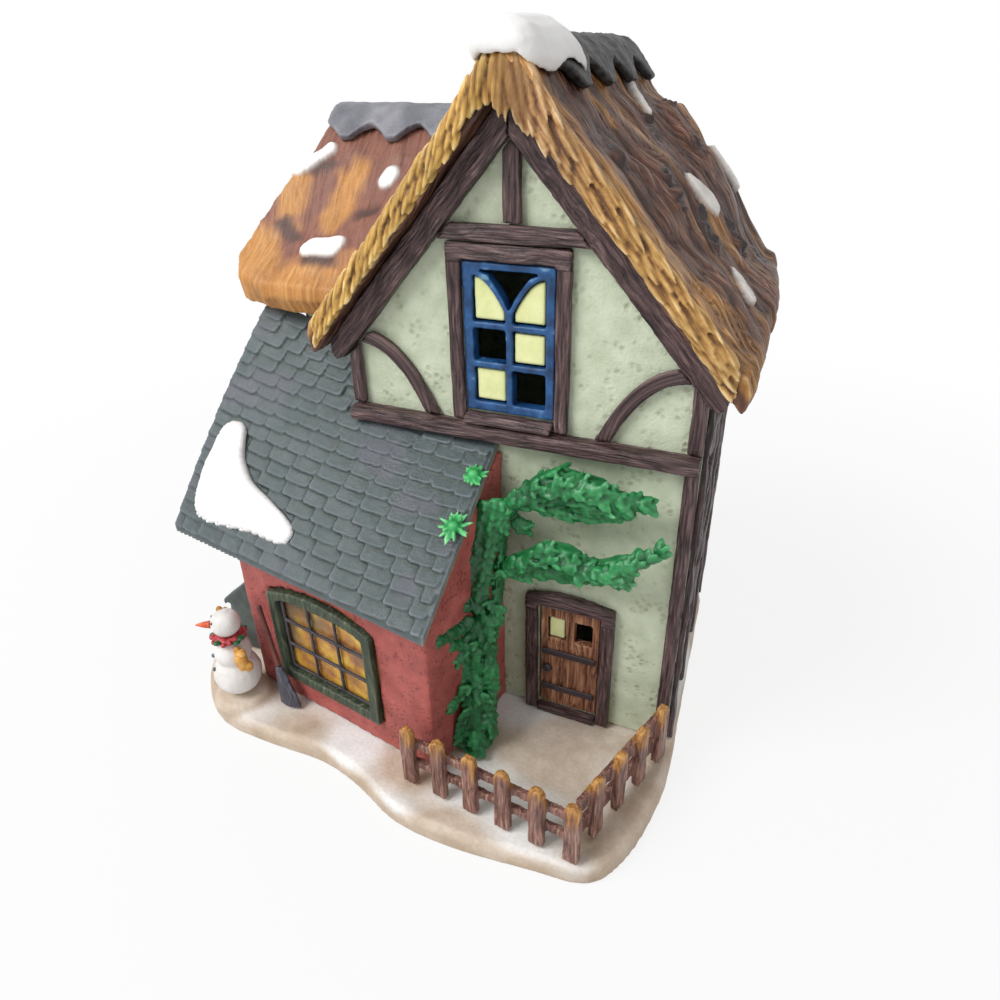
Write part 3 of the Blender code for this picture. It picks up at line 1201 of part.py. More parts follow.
def snow():
    """Snow lying on the roofs."""
    slate = blob(SLATE_SNOW, slate_height, SLATE_STEP + GAP, SNOW_HEIGHT)
    node("slate_snow", *slate, SNOW, smooth=True)

    rim = 0.3
    length = RIDGE_SNOW[-1][0]
    top, bottom = [], []
    for here, left, right in RIDGE_SNOW:
        near_end = min(1.0, (here + 0.4) / 4.0, (length + 0.5 - here) / 6.0)
        on_thatch = here < SNOW_BEFORE_CAP
        under = GAP if on_thatch else 2 * GAP + CAP_THICKNESS
        body = RIDGE_SNOW_HEIGHT + (GAP + CAP_THICKNESS if on_thatch else 0.0)
        body *= math.sqrt(1 - (1 - near_end) ** 2)
        low, high = [], []
        for s in (-1.0, -0.9, -0.7, -0.45, -0.2, 0.0, 0.2, 0.45, 0.7, 0.9, 1.0):
            reach = s * (left if s < 0 else right)
            rise = rim + body * math.sqrt(1 - abs(s) ** 3)
            for row, distance in ((low, under), (high, under + rise)):
                off, z = raised(thatch_top, reach, distance)
                row.append((off, SNOW_START + here, z))
        bottom.append(low)
        top.append(high)
    node("ridge_snow", *slab(top, bottom), SNOW, smooth=True)


def base():
    """Snow-covered base with a rounded rim, a flat underside and an opening under the house."""
    outline = smooth_loop(BASE_OUTLINE, 3)
    cx, cy = BASE_MIDDLE

    def ring(z, inset):
        points = []
        for x, y in ((p[0], p[1]) for p in outline):
            away = math.hypot(x - cx, y - cy)
            points.append((cx + (x - cx) * (1 - inset / away), cy + (y - cy) * (1 - inset / away), z))
        return points
    rings = [ring(0.0, 0.9), ring(0.9, 0.1), ring(BASE_THICKNESS - BASE_RIM, 0.0),
             ring(BASE_THICKNESS - BASE_RIM * 0.35, 0.7), ring(BASE_THICKNESS, BASE_RIM)]
    ground = node("base", *loft(rings), SNOW)
    inset = WALL + BASE_LEDGE
    opening = [(-HALF + inset, inset), (HALF - inset, inset),
               (HALF - inset - BACK_NARROWING, HOUSE_DEPTH - inset), (-HALF + inset, HOUSE_DEPTH - inset)]
    x, y = SNOWMAN
    mound = [(MOUND_RADIUS, BASE_THICKNESS - 1), (MOUND_RADIUS * 0.97, BASE_THICKNESS + 0.5),
             (MOUND_RADIUS * 0.88, MOUND_TOP - 0.5), (MOUND_RADIUS * 0.76, MOUND_TOP)]
    boolean(ground, [cutter("add_mound", turned(mound, 24, (x, y, 0)))], "UNION")
    walls = in_shop(block((-GAP, -GAP, BASE_THICKNESS), (SHOP_LENGTH + GAP, 60, 60)))
    boolean(ground, [cutter("cut_base_opening", along_z(opening, -5, 40)),
                     cutter("cut_base_shop", walls)])


def lamp():
    """The lamp put in from behind: holder, spring clips, screw sleeve and bulb."""
    centre = (LAMP_X, 0, LAMP_HEIGHT)
    flange_front = HOUSE_DEPTH + GAP
    flange_back = flange_front + FLANGE_THICKNESS
    front = flange_front - HOLDER_LENGTH
    barrel, boss = HOLDER_BARREL / 2, HOLDER_BOSS / 2
    profile = [(barrel - 0.6, front), (barrel, front + 0.6), (barrel, flange_front),
               (HOLDER_FLANGE / 2, flange_front), (HOLDER_FLANGE / 2, flange_back - 0.5),
               (HOLDER_FLANGE / 2 - 0.5, flange_back), (boss + 0.8, flange_back),
               (boss, flange_back + 0.8), (boss, flange_back + BOSS_LENGTH - 1),
               (boss - 1, flange_back + BOSS_LENGTH)]
    holder = node("lamp_holder", *turned(profile, 40, centre, "Y"), WHITE_PLASTIC, smooth=True)
    recess = SLEEVE_OUTER / 2 + GAP
    floor = front + SLEEVE_DEPTH + 2 * GAP
    socket = turned([(recess, front - 3), (recess, floor)], 32, centre, "Y")
    cord = turned([(CORD_HOLE / 2, floor + 2.5), (CORD_HOLE / 2, flange_back + BOSS_LENGTH + 3)], 16,
                  centre, "Y")
    boolean(holder, [cutter("cut_socket", socket), cutter("cut_cord_hole", cord)])
    outer, inner = SLEEVE_OUTER / 2, SLEEVE_OUTER / 2 - SLEEVE_WALL
    sleeve = node("holder_sleeve", *turned([(outer, front + 0.4), (outer, front + SLEEVE_DEPTH)], 32,
                                           centre, "Y"), BRASS, smooth=True)
    boolean(sleeve, [cutter("cut_sleeve", turned([(inner, front - 3), (inner, floor + 3)], 32, centre,
                                                 "Y"))])
    node("holder_contact", *turned([(2.4, floor - GAP - 0.7), (2.4, floor - GAP)], 16, centre, "Y"), BRASS)
    clip_start, clip_end = front + 1.5, flange_front - 1.0
    for end, side in (("lower", -1), ("upper", 1)):
        run = []
        steps = 8
        bow = (LAMP_HOLE - HOLDER_BARREL) / 2 - 2 * GAP - CLIP_THICKNESS
        for k in range(steps + 1):
            share = k / steps
            y = clip_start + (clip_end - clip_start) * share
            run.append((y, barrel + GAP + bow * math.sin(math.pi * share) ** 2))
        outline = [(y, LAMP_HEIGHT + side * r) for y, r in run]
        outline += [(y, LAMP_HEIGHT + side * (r + CLIP_THICKNESS)) for y, r in run[::-1]]
        node("holder_clip_" + end, *along_x(outline, LAMP_X - CLIP_WIDTH / 2, LAMP_X + CLIP_WIDTH / 2),
             SPRING_STEEL)
    cap = BULB_CAP / 2
    seat = floor - 2 * GAP - 0.7
    cap_front = seat - BULB_CAP_LENGTH
    cap_points = [(cap, cap_front), (cap, seat - 2.2), (cap * 0.55, seat - 0.8), (2.2, seat - 0.6), (2.2, seat)]
    node("bulb_cap", *turned(cap_points, 24, centre, "Y"), BRASS, smooth=True)
    glass_back = cap_front - GAP
    glass = BULB_GLASS / 2
    shape = [(0.02, 0.8), (0.10, 3.6), (0.22, 6.8), (0.36, 9.4), (0.52, 10.7), (0.66, glass),
             (0.78, 10.4), (0.88, 8.9), (0.95, 6.6), (0.99, 3.6)]
    points = [(cap * 0.92, glass_back), (cap * 0.98, glass_back - BULB_GLASS_LENGTH * 0.08)]
    for share, radius in shape[2:]:
        points.append((radius * glass / 11.0, glass_back - BULB_GLASS_LENGTH * share))
    bulb = node("bulb_glass", *turned(points, 24, centre, "Y"), GLASS, smooth=True)
    for piece in (bulb, bpy.data.objects["bulb_cap"], holder):
        set_origin(piece, centre)


def set_origin(piece, spot):
    """Move an object's origin without moving its mesh, so that it turns about its own axis."""
    shift = Vector(spot) * MM
    piece.data.transform(Matrix.Translation(-shift))
    piece.location = shift


def clear_scene():
    """Start from nothing."""
    for found in list(bpy.data.objects):
        bpy.data.objects.remove(found, do_unlink=True)


def main():
    clear_scene()
    base()
    main_block()
    cross_wing()
    shop()
    shed()
    thatch_main()
    thatch_wing()
    ridge_caps()
    slate_roof()
    timbers()
    casement()
    door()
    shop_window()
    fence()
    evergreen()
    snowman()
    snow()
    lamp()


main()
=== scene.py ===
"""Painted bisque finish of a lighted christmas village shop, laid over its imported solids.

Lengths are in millimetres until a mesh is made, in the same frame as the solids: +X to the right of
someone facing the door, +Y to the back, +Z up, and the table at z = 0.
"""

import math

import bmesh
import bpy
import numpy as np
from mathutils import Matrix, Vector


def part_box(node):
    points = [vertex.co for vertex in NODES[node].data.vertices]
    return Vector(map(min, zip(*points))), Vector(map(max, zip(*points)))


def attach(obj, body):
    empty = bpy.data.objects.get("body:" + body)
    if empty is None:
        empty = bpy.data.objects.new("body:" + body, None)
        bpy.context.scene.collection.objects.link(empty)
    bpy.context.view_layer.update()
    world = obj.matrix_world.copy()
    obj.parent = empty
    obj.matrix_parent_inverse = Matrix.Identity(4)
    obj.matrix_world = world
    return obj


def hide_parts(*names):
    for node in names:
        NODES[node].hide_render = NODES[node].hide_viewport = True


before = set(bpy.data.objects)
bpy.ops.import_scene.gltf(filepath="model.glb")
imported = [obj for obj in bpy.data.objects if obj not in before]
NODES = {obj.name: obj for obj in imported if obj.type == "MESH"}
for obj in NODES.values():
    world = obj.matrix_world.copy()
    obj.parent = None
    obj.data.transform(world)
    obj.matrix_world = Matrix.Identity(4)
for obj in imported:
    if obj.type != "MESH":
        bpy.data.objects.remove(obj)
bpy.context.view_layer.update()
MM = 0.001
MOST_TRIANGLES = 195000
COMB_RISE = 2.5

# Main thatch
ROOF_PITCH = 1.13
APEX = 151.0
THATCH = 4.7
ROLL_HALF = 9.0
ROLL_TOP = 157.0
THATCH_EDGE = 46.0
VERGE_FRONT = -6.5
VERGE_BACK = 72.0
HOUSE_DEPTH = 66.0
BACK_NARROWING = 4.4

# Wing thatch
WING_RIDGE_Y = 40.0
WING_PITCH = 1.1
WING_APEX = 138.9
WING_MIDDLE_X = -57.0

# Slate roof
SLATE_EAVE_RIGHT = (-6.6, -35.6)
SLATE_EAVE_LEFT = (-88.1, -20.1)
SLATE_EAVE_HEIGHT = 52.0
SLATE_TOP_HEIGHT = 82.4
SLATE_TOP_RISE = 0.045
SLATE_TOP_RIGHT = -3.3
SLATE_TOP_LEFT = -72.7
SLATE_TOP_Y = 11.7
SLATE_COURSES = 18
SLATE_RUN = 81.0
SLATE_LAST = 80.2
SLATE_MARGIN = 0.9

# Fence
FENCE_LEFT = (-13.4, -35.4)
FENCE_CORNER = (28.6, -40.6)
FENCE_BACK = (39.4, -6.6)

STEEP = math.sqrt(1 + ROOF_PITCH ** 2)
WING_STEEP = math.sqrt(1 + WING_PITCH ** 2)
THATCH_TOP = APEX + THATCH * STEEP


def srgb(code, alpha=1.0):
    """A six-figure screen colour as linear values."""
    parts = [int(code[k:k + 2], 16) / 255 for k in (0, 2, 4)]
    return tuple(c / 12.92 if c <= 0.04045 else ((c + 0.055) / 1.055) ** 2.4 for c in parts) + (alpha,)


def lattice(cells, seed):
    """Even random numbers from -1 to 1 for whole-number cells, the same on every run."""
    x, y, z = (cells[:, k].astype(np.int64) for k in range(3))
    mixed = (x * 73856093) ^ (y * 19349663) ^ (z * 83492791) ^ (seed * 2654435761)
    mixed = ((mixed & 0xFFFFFFFF) ^ ((mixed & 0xFFFFFFFF) >> 13)) * 1274126177 & 0xFFFFFFFF
    mixed = mixed ^ (mixed >> 16)
    return (mixed & 0xFFFF) / 32767.5 - 1.0


def noise(points, size, seed=0):
    """Smooth noise from -1 to 1, with one length or a length for each axis."""
    scaled = np.asarray(points, float) / np.asarray(size, float)
    cell = np.floor(scaled)
    part = scaled - cell
    part = part * part * (3 - 2 * part)
    total = np.zeros(len(scaled))
    for corner in range(8):
        step = np.array([corner & 1, corner >> 1 & 1, corner >> 2 & 1])
        weight = np.prod(np.where(step, part, 1 - part), axis=1)
        total += weight * lattice(cell + step, seed)
    return total


def ramp(value, low, high):
    """Smooth rise from 0 at low to 1 at high."""
    t = np.clip((value - low) / (high - low), 0, 1)
    return t * t * (3 - 2 * t)


def node_in(tree, kind, **values):
    """A new node, its settings and the values of its inputs given by name."""
    node = tree.nodes.new(kind)
    for key, value in values.items():
        if hasattr(node, key):
            setattr(node, key, value)
        else:
            node.inputs[key.replace("_", " ")].default_value = value
    return node


def maths(tree, operation, *values, clamp=False):
    """The output of one sum on node outputs and numbers."""
    node = node_in(tree, "ShaderNodeMath", operation=operation, use_clamp=clamp)
    for socket, value in zip(node.inputs, values):
        if isinstance(value, (int, float)):
            socket.default_value = value
        else:
            tree.links.new(value, socket)
    return node.outputs[0]


# Finishes

def finish(name, stops, gold=None, tints=(), source="relief", mottle=0.12, mottle_size=5.0, fine=0.10,
           fine_size=0.6, bump=0.12, pits=0.0, pit_size=1.3, pit_shade_tint="A89C80", roughness=0.5,
           metallic=0.0, comb=None):
    """Painted bisque: colours by relief, other paints by mask, mottling, fine grain, pits, and lines
    combed along the piece, given as their length, their spacing and how far they darken."""
    made = bpy.data.materials.new(name)
    made.use_nodes = True
    tree = made.node_tree
    shader = tree.nodes["Principled BSDF"]

    link = tree.links.new

    def add(kind, **values):
        return node_in(tree, kind, **values)

    def scalar(attribute):
        return add("ShaderNodeAttribute", attribute_name=attribute).outputs["Fac"]

    def colours(points, factor):
        node = add("ShaderNodeValToRGB")
        band = node.color_ramp
        while len(band.elements) < len(points):
            band.elements.new(0.5)
        for element, (place, code) in zip(band.elements, points):
            element.position = place
            element.color = srgb(code)
        link(factor, node.inputs["Fac"])
        return node.outputs["Color"]

    where = add("ShaderNodeTexCoord").outputs["Object"]

    def cloud(size, detail=3.0):
        node = add("ShaderNodeTexNoise", Scale=1 / (size * MM), Detail=detail)
        link(where, node.inputs["Vector"])
        return node.outputs["Fac"]

    def stretch(factor, low, high, start=0.3, end=0.7):
        node = add("ShaderNodeMapRange", From_Min=start, From_Max=end, To_Min=low, To_Max=high)
        link(factor, node.inputs["Value"])
        return node.outputs["Result"]

    def mix(factor, a, b, kind="MIX"):
        node = add("ShaderNodeMix", data_type="RGBA", blend_type=kind)
        if isinstance(factor, float):
            node.inputs["Factor"].default_value = factor
        else:
            link(factor, node.inputs["Factor"])
        for socket, value in ((node.inputs[6], a), (node.inputs[7], b)):
            if isinstance(value, str):
                socket.default_value = srgb(value)
            else:
                link(value, socket)
        return node.outputs[2]

    grain = cloud(fine_size, 4.0)
    blotch = cloud(mottle_size, 4.0)
    level = scalar("relief") if source == "relief" else blotch
    if comb:
        squeezed = add("ShaderNodeVectorMath", operation="MULTIPLY")
        link(add("ShaderNodeAttribute", attribute_name="comb").outputs["Vector"], squeezed.inputs[0])
        squeezed.inputs[1].default_value = (1 / comb[0], 1 / comb[1], 1 / comb[1])
        drawn = add("ShaderNodeTexNoise", Scale=1.0, Detail=3.0)
        link(squeezed.outputs[0], drawn.inputs["Vector"])
        lines = drawn.outputs["Fac"]
        level = maths(tree, "ADD", level, stretch(lines, -comb[2], comb[2]), clamp=True)
    paint = colours(stops, level)
    if gold:
        paint = mix(scalar("gold"), paint, colours(gold, level))
    for attribute, code in tints:
        paint = mix(scalar(attribute), paint, code)
    shade = add("ShaderNodeHueSaturation")
    link(paint, shade.inputs["Color"])
    link(maths(tree, "MULTIPLY", stretch(blotch, 1 - mottle, 1 + mottle), stretch(grain, 1 - fine, 1 + fine)),
         shade.inputs["Value"])
    colour = shade.outputs["Color"]
    height = grain
    if comb:
        height = maths(tree, "MULTIPLY_ADD", lines, COMB_RISE, grain)
    if pits:
        holes = add("ShaderNodeTexVoronoi", Scale=1 / (pit_size * MM))
        link(where, holes.inputs["Vector"])
        depth = stretch(holes.outputs["Distance"], 1.0, 0.0, 0.10, 0.52)
        patch = stretch(cloud(pit_size * 3.2, 2.0), 0.0, 1.0, 0.47, 0.60)
        pitted = maths(tree, "MULTIPLY", depth, patch)
        # Painted shade: the paint in the pits is multiplied by the pit tint, darker the deeper they are
        colour = mix(stretch(pitted, 0.0, pits * 0.5, 0.0, 1.0), colour, pit_shade_tint, "MULTIPLY")
        height = maths(tree, "MULTIPLY_ADD", pitted, -pits * 2, grain)
    link(colour, shader.inputs["Base Color"])
    rough = stretch(blotch, max(0.05, roughness - 0.08), min(1.0, roughness + 0.1))
    link(rough, shader.inputs["Roughness"])
    raised = add("ShaderNodeBump", Strength=0.8, Distance=bump * MM)
    link(height, raised.inputs["Height"])
    link(raised.outputs["Normal"], shader.inputs["Normal"])
    shader.inputs["Metallic"].default_value = metallic
    shader.inputs["IOR"].default_value = 1.45
    return made


TIMBER = finish("timber paint", ((0.0, "170C0F"), (0.3, "352324"), (0.6, "574242"), (0.85, "735D5B"),
                                 (1.0, "907C78")), roughness=0.42, mottle=0.12, mottle_size=4.0,
                fine=0.08, bump=0.22, comb=(7.0, 0.42, 0.34))
STUCCO = finish("sage stucco paint", ((0.3, "BCC6AA"), (0.5, "C6CFB5"), (0.7, "CED6BE")), source="blotch",
                pits=0.8, pit_size=1.7, mottle=0.04, fine=0.035, bump=0.20, roughness=0.6)
THATCH_PAINT = finish("thatch paint", ((0.0, "150906"), (0.3, "341C12"), (0.55, "543325"), (0.8, "724C3B"),
                                       (1.0, "96725E")),
                      gold=((0.0, "38200E"), (0.3, "744821"), (0.6, "A5743A"), (0.85, "C2935A"),
                            (1.0, "DCB98C")),
                      tints=(("dark", "2B1B1B"), ("snow", "E9E4DE")), roughness=0.42, mottle=0.22,
                      mottle_size=6.0, fine=0.08, bump=0.24, comb=(6.5, 0.5, 0.36))
VERGE_PAINT = finish("verge straw paint", ((0.0, "22110A"), (0.28, "5E3A20"), (0.52, "96693C"),
                                           (0.78, "BE9462"), (1.0, "DEBF96")),
                     gold=((0.0, "2A1808"), (0.28, "6C4A20"), (0.52, "A67C38"), (0.78, "CCA254"),
                           (1.0, "E8CB8C")), roughness=0.42, mottle=0.16, mottle_size=5.0, fine=0.06,
                     bump=0.14, comb=(7.0, 0.6, 0.16))
WING_PAINT = finish("wing thatch paint", ((0.0, "5A352B"), (0.4, "7E5042"), (1.0, "9A6A56")),
                    gold=((0.0, "94622F"), (0.5, "BC8245"), (1.0, "D4A466")),
                    tints=(("dark", "4A3028"), ("snow", "F3F1EE")), roughness=0.55, mottle=0.12,
                    mottle_size=8.0, fine=0.08, bump=0.12, comb=(5.0, 0.7, 0.22))
# Painted shade: the main ridge cap has the wing cap's grey, painted near black for the shade on it
SHADED_MAIN_CAP_PAINT = finish("ridge cap paint", ((0.0, "0C0B0B"), (0.5, "1E1C1D"), (1.0, "3E3B3B")),
                   roughness=0.5, mottle=0.16, mottle_size=3.0, bump=0.2)
WING_CAP_PAINT = finish("wing cap paint", ((0.0, "5A5A60"), (0.5, "72727A"), (1.0, "94949A")),
                        roughness=0.5, mottle=0.08)
SNOW_PAINT = finish("snow glaze", ((0.3, "E6E3E0"), (0.6, "F1F0EF")), source="blotch", roughness=0.42,
                    mottle=0.02, fine=0.02, bump=0.03, mottle_size=9.0)
SLATE_PAINT = finish("slate paint", ((0.0, "1B2122"), (0.35, "39433F"), (0.5, "4A5556"), (0.72, "5A6468"),
                                     (1.0, "7C8088")), tints=(("lilac", "5C5B66"), ("edge", "8A8271")),
                     roughness=0.5, mottle=0.10, mottle_size=8.0, fine=0.10, fine_size=0.5, bump=0.14)
GROUND_PAINT = finish("snow ground paint", ((0.3, "BCA68E"), (0.5, "CAB8A5"), (0.7, "D9CCBE")),
                      tints=(("white", "F2F1EF"), ("soil", "A98F72")), source="blotch", roughness=0.6,
                      mottle=0.05, mottle_size=9.0, fine=0.07, fine_size=0.9, bump=0.12)
# Painted shade: the shed is painted dark grey for the shade that falls where it stands
SHADED_SHED_PAINT = finish("shed paint", ((0.0, "262B2A"), (0.5, "3F4744"), (1.0, "5A6460")), roughness=0.5,
                    mottle=0.14)
RED_PAINT = finish("brick red paint", ((0.3, "974741"), (0.5, "A5524C"), (0.7, "AF5C55")), source="blotch",
                   pits=0.9, pit_size=0.95, mottle=0.06, fine=0.08, bump=0.14, roughness=0.55,
                   pit_shade_tint="5C3A38")
GREEN_PAINT = finish("window green paint", ((0.0, "1A1F18"), (0.5, "343F30"), (0.8, "4A5440"),
                                            (1.0, "6E7458")), roughness=0.5, mottle=0.12,
                     comb=(6.0, 0.6, 0.14))
LEAD_PAINT = finish("leading paint", ((0.3, "2E2A30"), (0.7, "4A4448")), source="blotch", roughness=0.5)
AMBER_PAINT = finish("amber pane paint", ((0.25, "6A4A3C"), (0.4, "A06C36"), (0.52, "BC8838"),
                                          (0.66, "D2AE4C"), (0.8, "A06E3A")), source="blotch",
                     tints=(("dark", "5A4A42"),), roughness=0.3, mottle=0.12, mottle_size=6.0, fine=0.08)
BLUE_PAINT = finish("casement blue paint", ((0.0, "0B1E38"), (0.5, "1B4473"), (0.85, "295B90"),
                                            (1.0, "6890B2")), roughness=0.38, mottle=0.06)
PANE_PAINT = finish("pale yellow pane paint", ((0.3, "DCE09C"), (0.7, "E6E8AE")), source="blotch",
                    roughness=0.35, mottle=0.03, fine=0.03, bump=0.04)
DOOR_PAINT = finish("door paint", ((0.0, "341E16"), (0.35, "764A36"), (0.65, "A27054"), (1.0, "C49A78")),
                    roughness=0.42, mottle=0.12, mottle_size=4.0, bump=0.2, comb=(9.0, 0.4, 0.3))
IRON_PAINT = finish("dark iron paint", ((0.3, "2A2226"), (0.7, "40363A")), source="blotch", roughness=0.42)
LEAF_PAINT = finish("evergreen paint", ((0.0, "04200F"), (0.3, "0F4A26"), (0.55, "1F6F3C"),
                                        (0.78, "3A9257"), (1.0, "86C795")),
                    tints=(("shade", "0C3A20"),), roughness=0.36, mottle=0.16, mottle_size=7.0, fine=0.08,
                    bump=0.1)
SPRIG_PAINT = finish("sprig green paint", ((0.0, "12502A"), (0.5, "35A458"), (1.0, "8DE89C")),
                     roughness=0.4, mottle=0.1)
FENCE_PAINT = finish("fence paint", ((0.0, "301A18"), (0.4, "6C4840"), (0.7, "946A5C"), (1.0, "B89886")),
                     gold=((0.0, "6E401A"), (0.5, "B27A38"), (1.0, "D8A85E")), roughness=0.42,
                     mottle=0.12, mottle_size=4.0, bump=0.2, comb=(6.0, 0.42, 0.3))
SNOWMAN_PAINT = finish("snowman glaze", ((0.3, "DEDAD6"), (0.7, "E9E6E3")), source="blotch",
                       roughness=0.4, mottle=0.02, fine=0.02, bump=0.02)
CARROT_PAINT = finish("carrot paint", ((0.0, "B8401F"), (0.6, "E1663C"), (1.0, "F08A5A")), roughness=0.45)
HOLLY_PAINT = finish("holly paint", ((0.0, "7A1C24"), (0.5, "B03840"), (1.0, "D2646A")), roughness=0.45)
TAN_PAINT = finish("tan glove paint", ((0.0, "9C6526"), (0.5, "D29A48"), (1.0, "E9BE78")), roughness=0.5)
BROOM_PAINT = finish("broom paint", ((0.0, "23222B"), (0.5, "484854"), (1.0, "82828E")), roughness=0.5)
HANDLE_PAINT = finish("broom handle paint", ((0.3, "4A2422"), (0.7, "6B3A34")), source="blotch",
                      roughness=0.5)
COAL_PAINT = finish("coal paint", ((0.3, "4C5260"), (0.7, "6A7080")), source="blotch", roughness=0.5)
PLASTIC = finish("white plastic", ((0.3, "DCDAD2"), (0.7, "E4E2DB")), source="blotch", roughness=0.38,
                 mottle=0.02, fine=0.02, bump=0.02)
STEEL = finish("spring steel", ((0.3, "A6A6A8"), (0.7, "BDBDC0")), source="blotch", roughness=0.3,
               metallic=1.0, mottle=0.04, fine=0.05, bump=0.01)
BRASS = finish("brass", ((0.3, "C79A4A"), (0.7, "DDB668")), source="blotch", roughness=0.28,
               metallic=1.0, mottle=0.04, fine=0.05, bump=0.01)


def glass(name):
    """Clear glass of the bulb."""
    made = bpy.data.materials.new(name)
    made.use_nodes = True
    shader = made.node_tree.nodes["Principled BSDF"]
    shader.inputs["Base Color"].default_value = srgb("F4F6F4")
    shader.inputs["Roughness"].default_value = 0.03
    shader.inputs["Transmission Weight"].default_value = 1.0
    shader.inputs["IOR"].default_value = 1.48
    return made


# Making pieces

def set_masks(mesh, masks):
    """Store each mask on the mesh's points, as a number or as three."""
    for name, values in masks.items():
        values = np.asarray(values, np.float32)
        kind, field = ("FLOAT_VECTOR", "vector") if values.ndim == 2 else ("FLOAT", "value")
        mesh.attributes.new(name, kind, "POINT").data.foreach_set(field, values.ravel())


def place(name, mesh, look, body="house", slot=None, stands_for=()):
    """A finished piece that rides on a body and may stand for CAD nodes."""
    mesh.name = name
    mesh.materials.clear()
    mesh.materials.append(look)
    mesh.shade_smooth()
    made = bpy.data.objects.new(name, mesh)
    bpy.context.scene.collection.objects.link(made)
    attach(made, body)
    if stands_for:
        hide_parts(*stands_for)
    return made


def points_of(mesh):
    """A mesh's points in millimetres, and its point normals."""
    count = len(mesh.vertices)
    co = np.empty(count * 3, np.float32)
    mesh.vertices.foreach_get("co", co)
    normal = np.empty(count * 3, np.float32)
    mesh.vertex_normals.foreach_get("vector", normal)
    return co.reshape(-1, 3).astype(float) / MM, normal.reshape(-1, 3).astype(float)


def put_points(mesh, co):
    """Give a mesh its points back, from millimetres."""
    mesh.vertices.foreach_set("co", (np.asarray(co) * MM).astype(np.float32).ravel())
    mesh.update()


def worked(source):
    """The mesh of an object with its modifiers worked in. The object goes."""
    bpy.context.view_layer.update()
    graph = bpy.context.evaluated_depsgraph_get()
    mesh = bpy.data.meshes.new_from_object(source.evaluated_get(graph))
    bpy.data.objects.remove(source)
    return mesh


def cad_copy(names):
    """One merged copy of some CAD nodes."""
    shell = bmesh.new()
    for name in names:
        shell.from_mesh(NODES[name].data)
    bmesh.ops.remove_doubles(shell, verts=shell.verts, dist=1e-6)
    mesh = bpy.data.meshes.new("copy")
    shell.to_mesh(mesh)
    shell.free()
    return mesh


def skin(mesh, voxel, soften=3):
    """A mesh of even small faces over closed solids, its edges rounded as cast clay is."""
    source = bpy.data.objects.new("source", mesh)
    bpy.context.scene.collection.objects.link(source)
    step = source.modifiers.new("skin", "REMESH")
    step.mode = "VOXEL"
    step.voxel_size = voxel * MM
    if soften:
        step = source.modifiers.new("soften", "SMOOTH")
        step.factor = 0.5
        step.iterations = soften
    return worked(source)


def melted(meshes):
    """One mesh of several."""
    shell = bmesh.new()
    for mesh in meshes:
        shell.from_mesh(mesh)
    made = bpy.data.meshes.new("melted")
    shell.to_mesh(made)
    shell.free()
    return made


def thinned(mesh):
    """The mesh with no more triangles than a piece may have, taken from its flatter parts first."""
    count = sum(len(face.vertices) - 2 for face in mesh.polygons)
    if count <= MOST_TRIANGLES:
        return mesh
    source = bpy.data.objects.new("source", mesh)
    bpy.context.scene.collection.objects.link(source)
    source.modifiers.new("thin", "DECIMATE").ratio = MOST_TRIANGLES / count
    return worked(source)


def standing_out(mesh, rounds):
    """How far each point stands out of its surroundings, in millimetres."""
    count = len(mesh.vertices)
    ends = np.empty(len(mesh.edges) * 2, np.int32)
    mesh.edges.foreach_get("vertices", ends)
    a, b = ends[0::2], ends[1::2]
    co, normal = points_of(mesh)
    around = np.maximum(np.bincount(ends, minlength=count), 1)
    soft = co.copy()
    for _ in range(rounds):
        soft = np.stack([(np.bincount(a, soft[b, k], count) + np.bincount(b, soft[a, k], count)) / around
                         for k in range(3)], 1)
    return np.einsum("ij,ij->i", co - soft, normal)


def cast(name, nodes, voxel, look, relief=None, soften=3, body="house", slot=None, extra=(), painted_hollow_shade=0.0,
         sink=0.0):
    """A softened copy of some CAD nodes, melted together with extra meshes, with a carved relief. It
    stands for the nodes. The hollow shade darkens the paint in the hollows and lightens it on the
    ridges: painted shade in the hollows and painted highlight on the ridges. The nodes may be sunk a
    little first, so that what is melted onto them stands as high as they do."""
    mesh = cad_copy(nodes)
    if sink:
        mesh = skin(mesh, voxel * 1.5, 2)
        co, normal = points_of(mesh)
        put_points(mesh, co - normal * sink)
    if extra:
        mesh = melted([mesh, *extra])
    mesh = skin(mesh, voxel, soften)
    co, normal = points_of(mesh)
    if relief:
        height, masks = relief(co, normal)
        put_points(mesh, co + (height if np.ndim(height) == 2 else normal * height[:, None]))
        # Painted shade in the hollows and painted highlight on the ridges, from how far each point stands out
        if painted_hollow_shade:
            masks["relief"] = np.clip(masks["relief"] + painted_hollow_shade * standing_out(mesh, 8), 0, 1)
        set_masks(mesh, masks)
    return place(name, thinned(mesh), look, body, slot, nodes)


def grain(along, across, deep, pitch=0.8, run=10.0, depth=0.3, seed=0):
    """Height and level of carved grain: rounded ridges with sharp grooves between them."""
    wander = noise(np.stack([along, across, deep], 1), (run * 0.7, 3.0, 3.0), seed + 5) * pitch * 0.9
    bent = np.stack([along, across + wander, deep + wander], 1)
    coarse = np.sqrt(np.abs(noise(bent, (run, pitch, pitch * 1.3), seed)))
    fine = noise(bent, (run * 0.6, pitch * 0.45, pitch * 0.5), seed + 9)
    level = np.clip(coarse * 0.95 + 0.18 * fine, 0, 1)
    return (level - 0.55) * depth, level


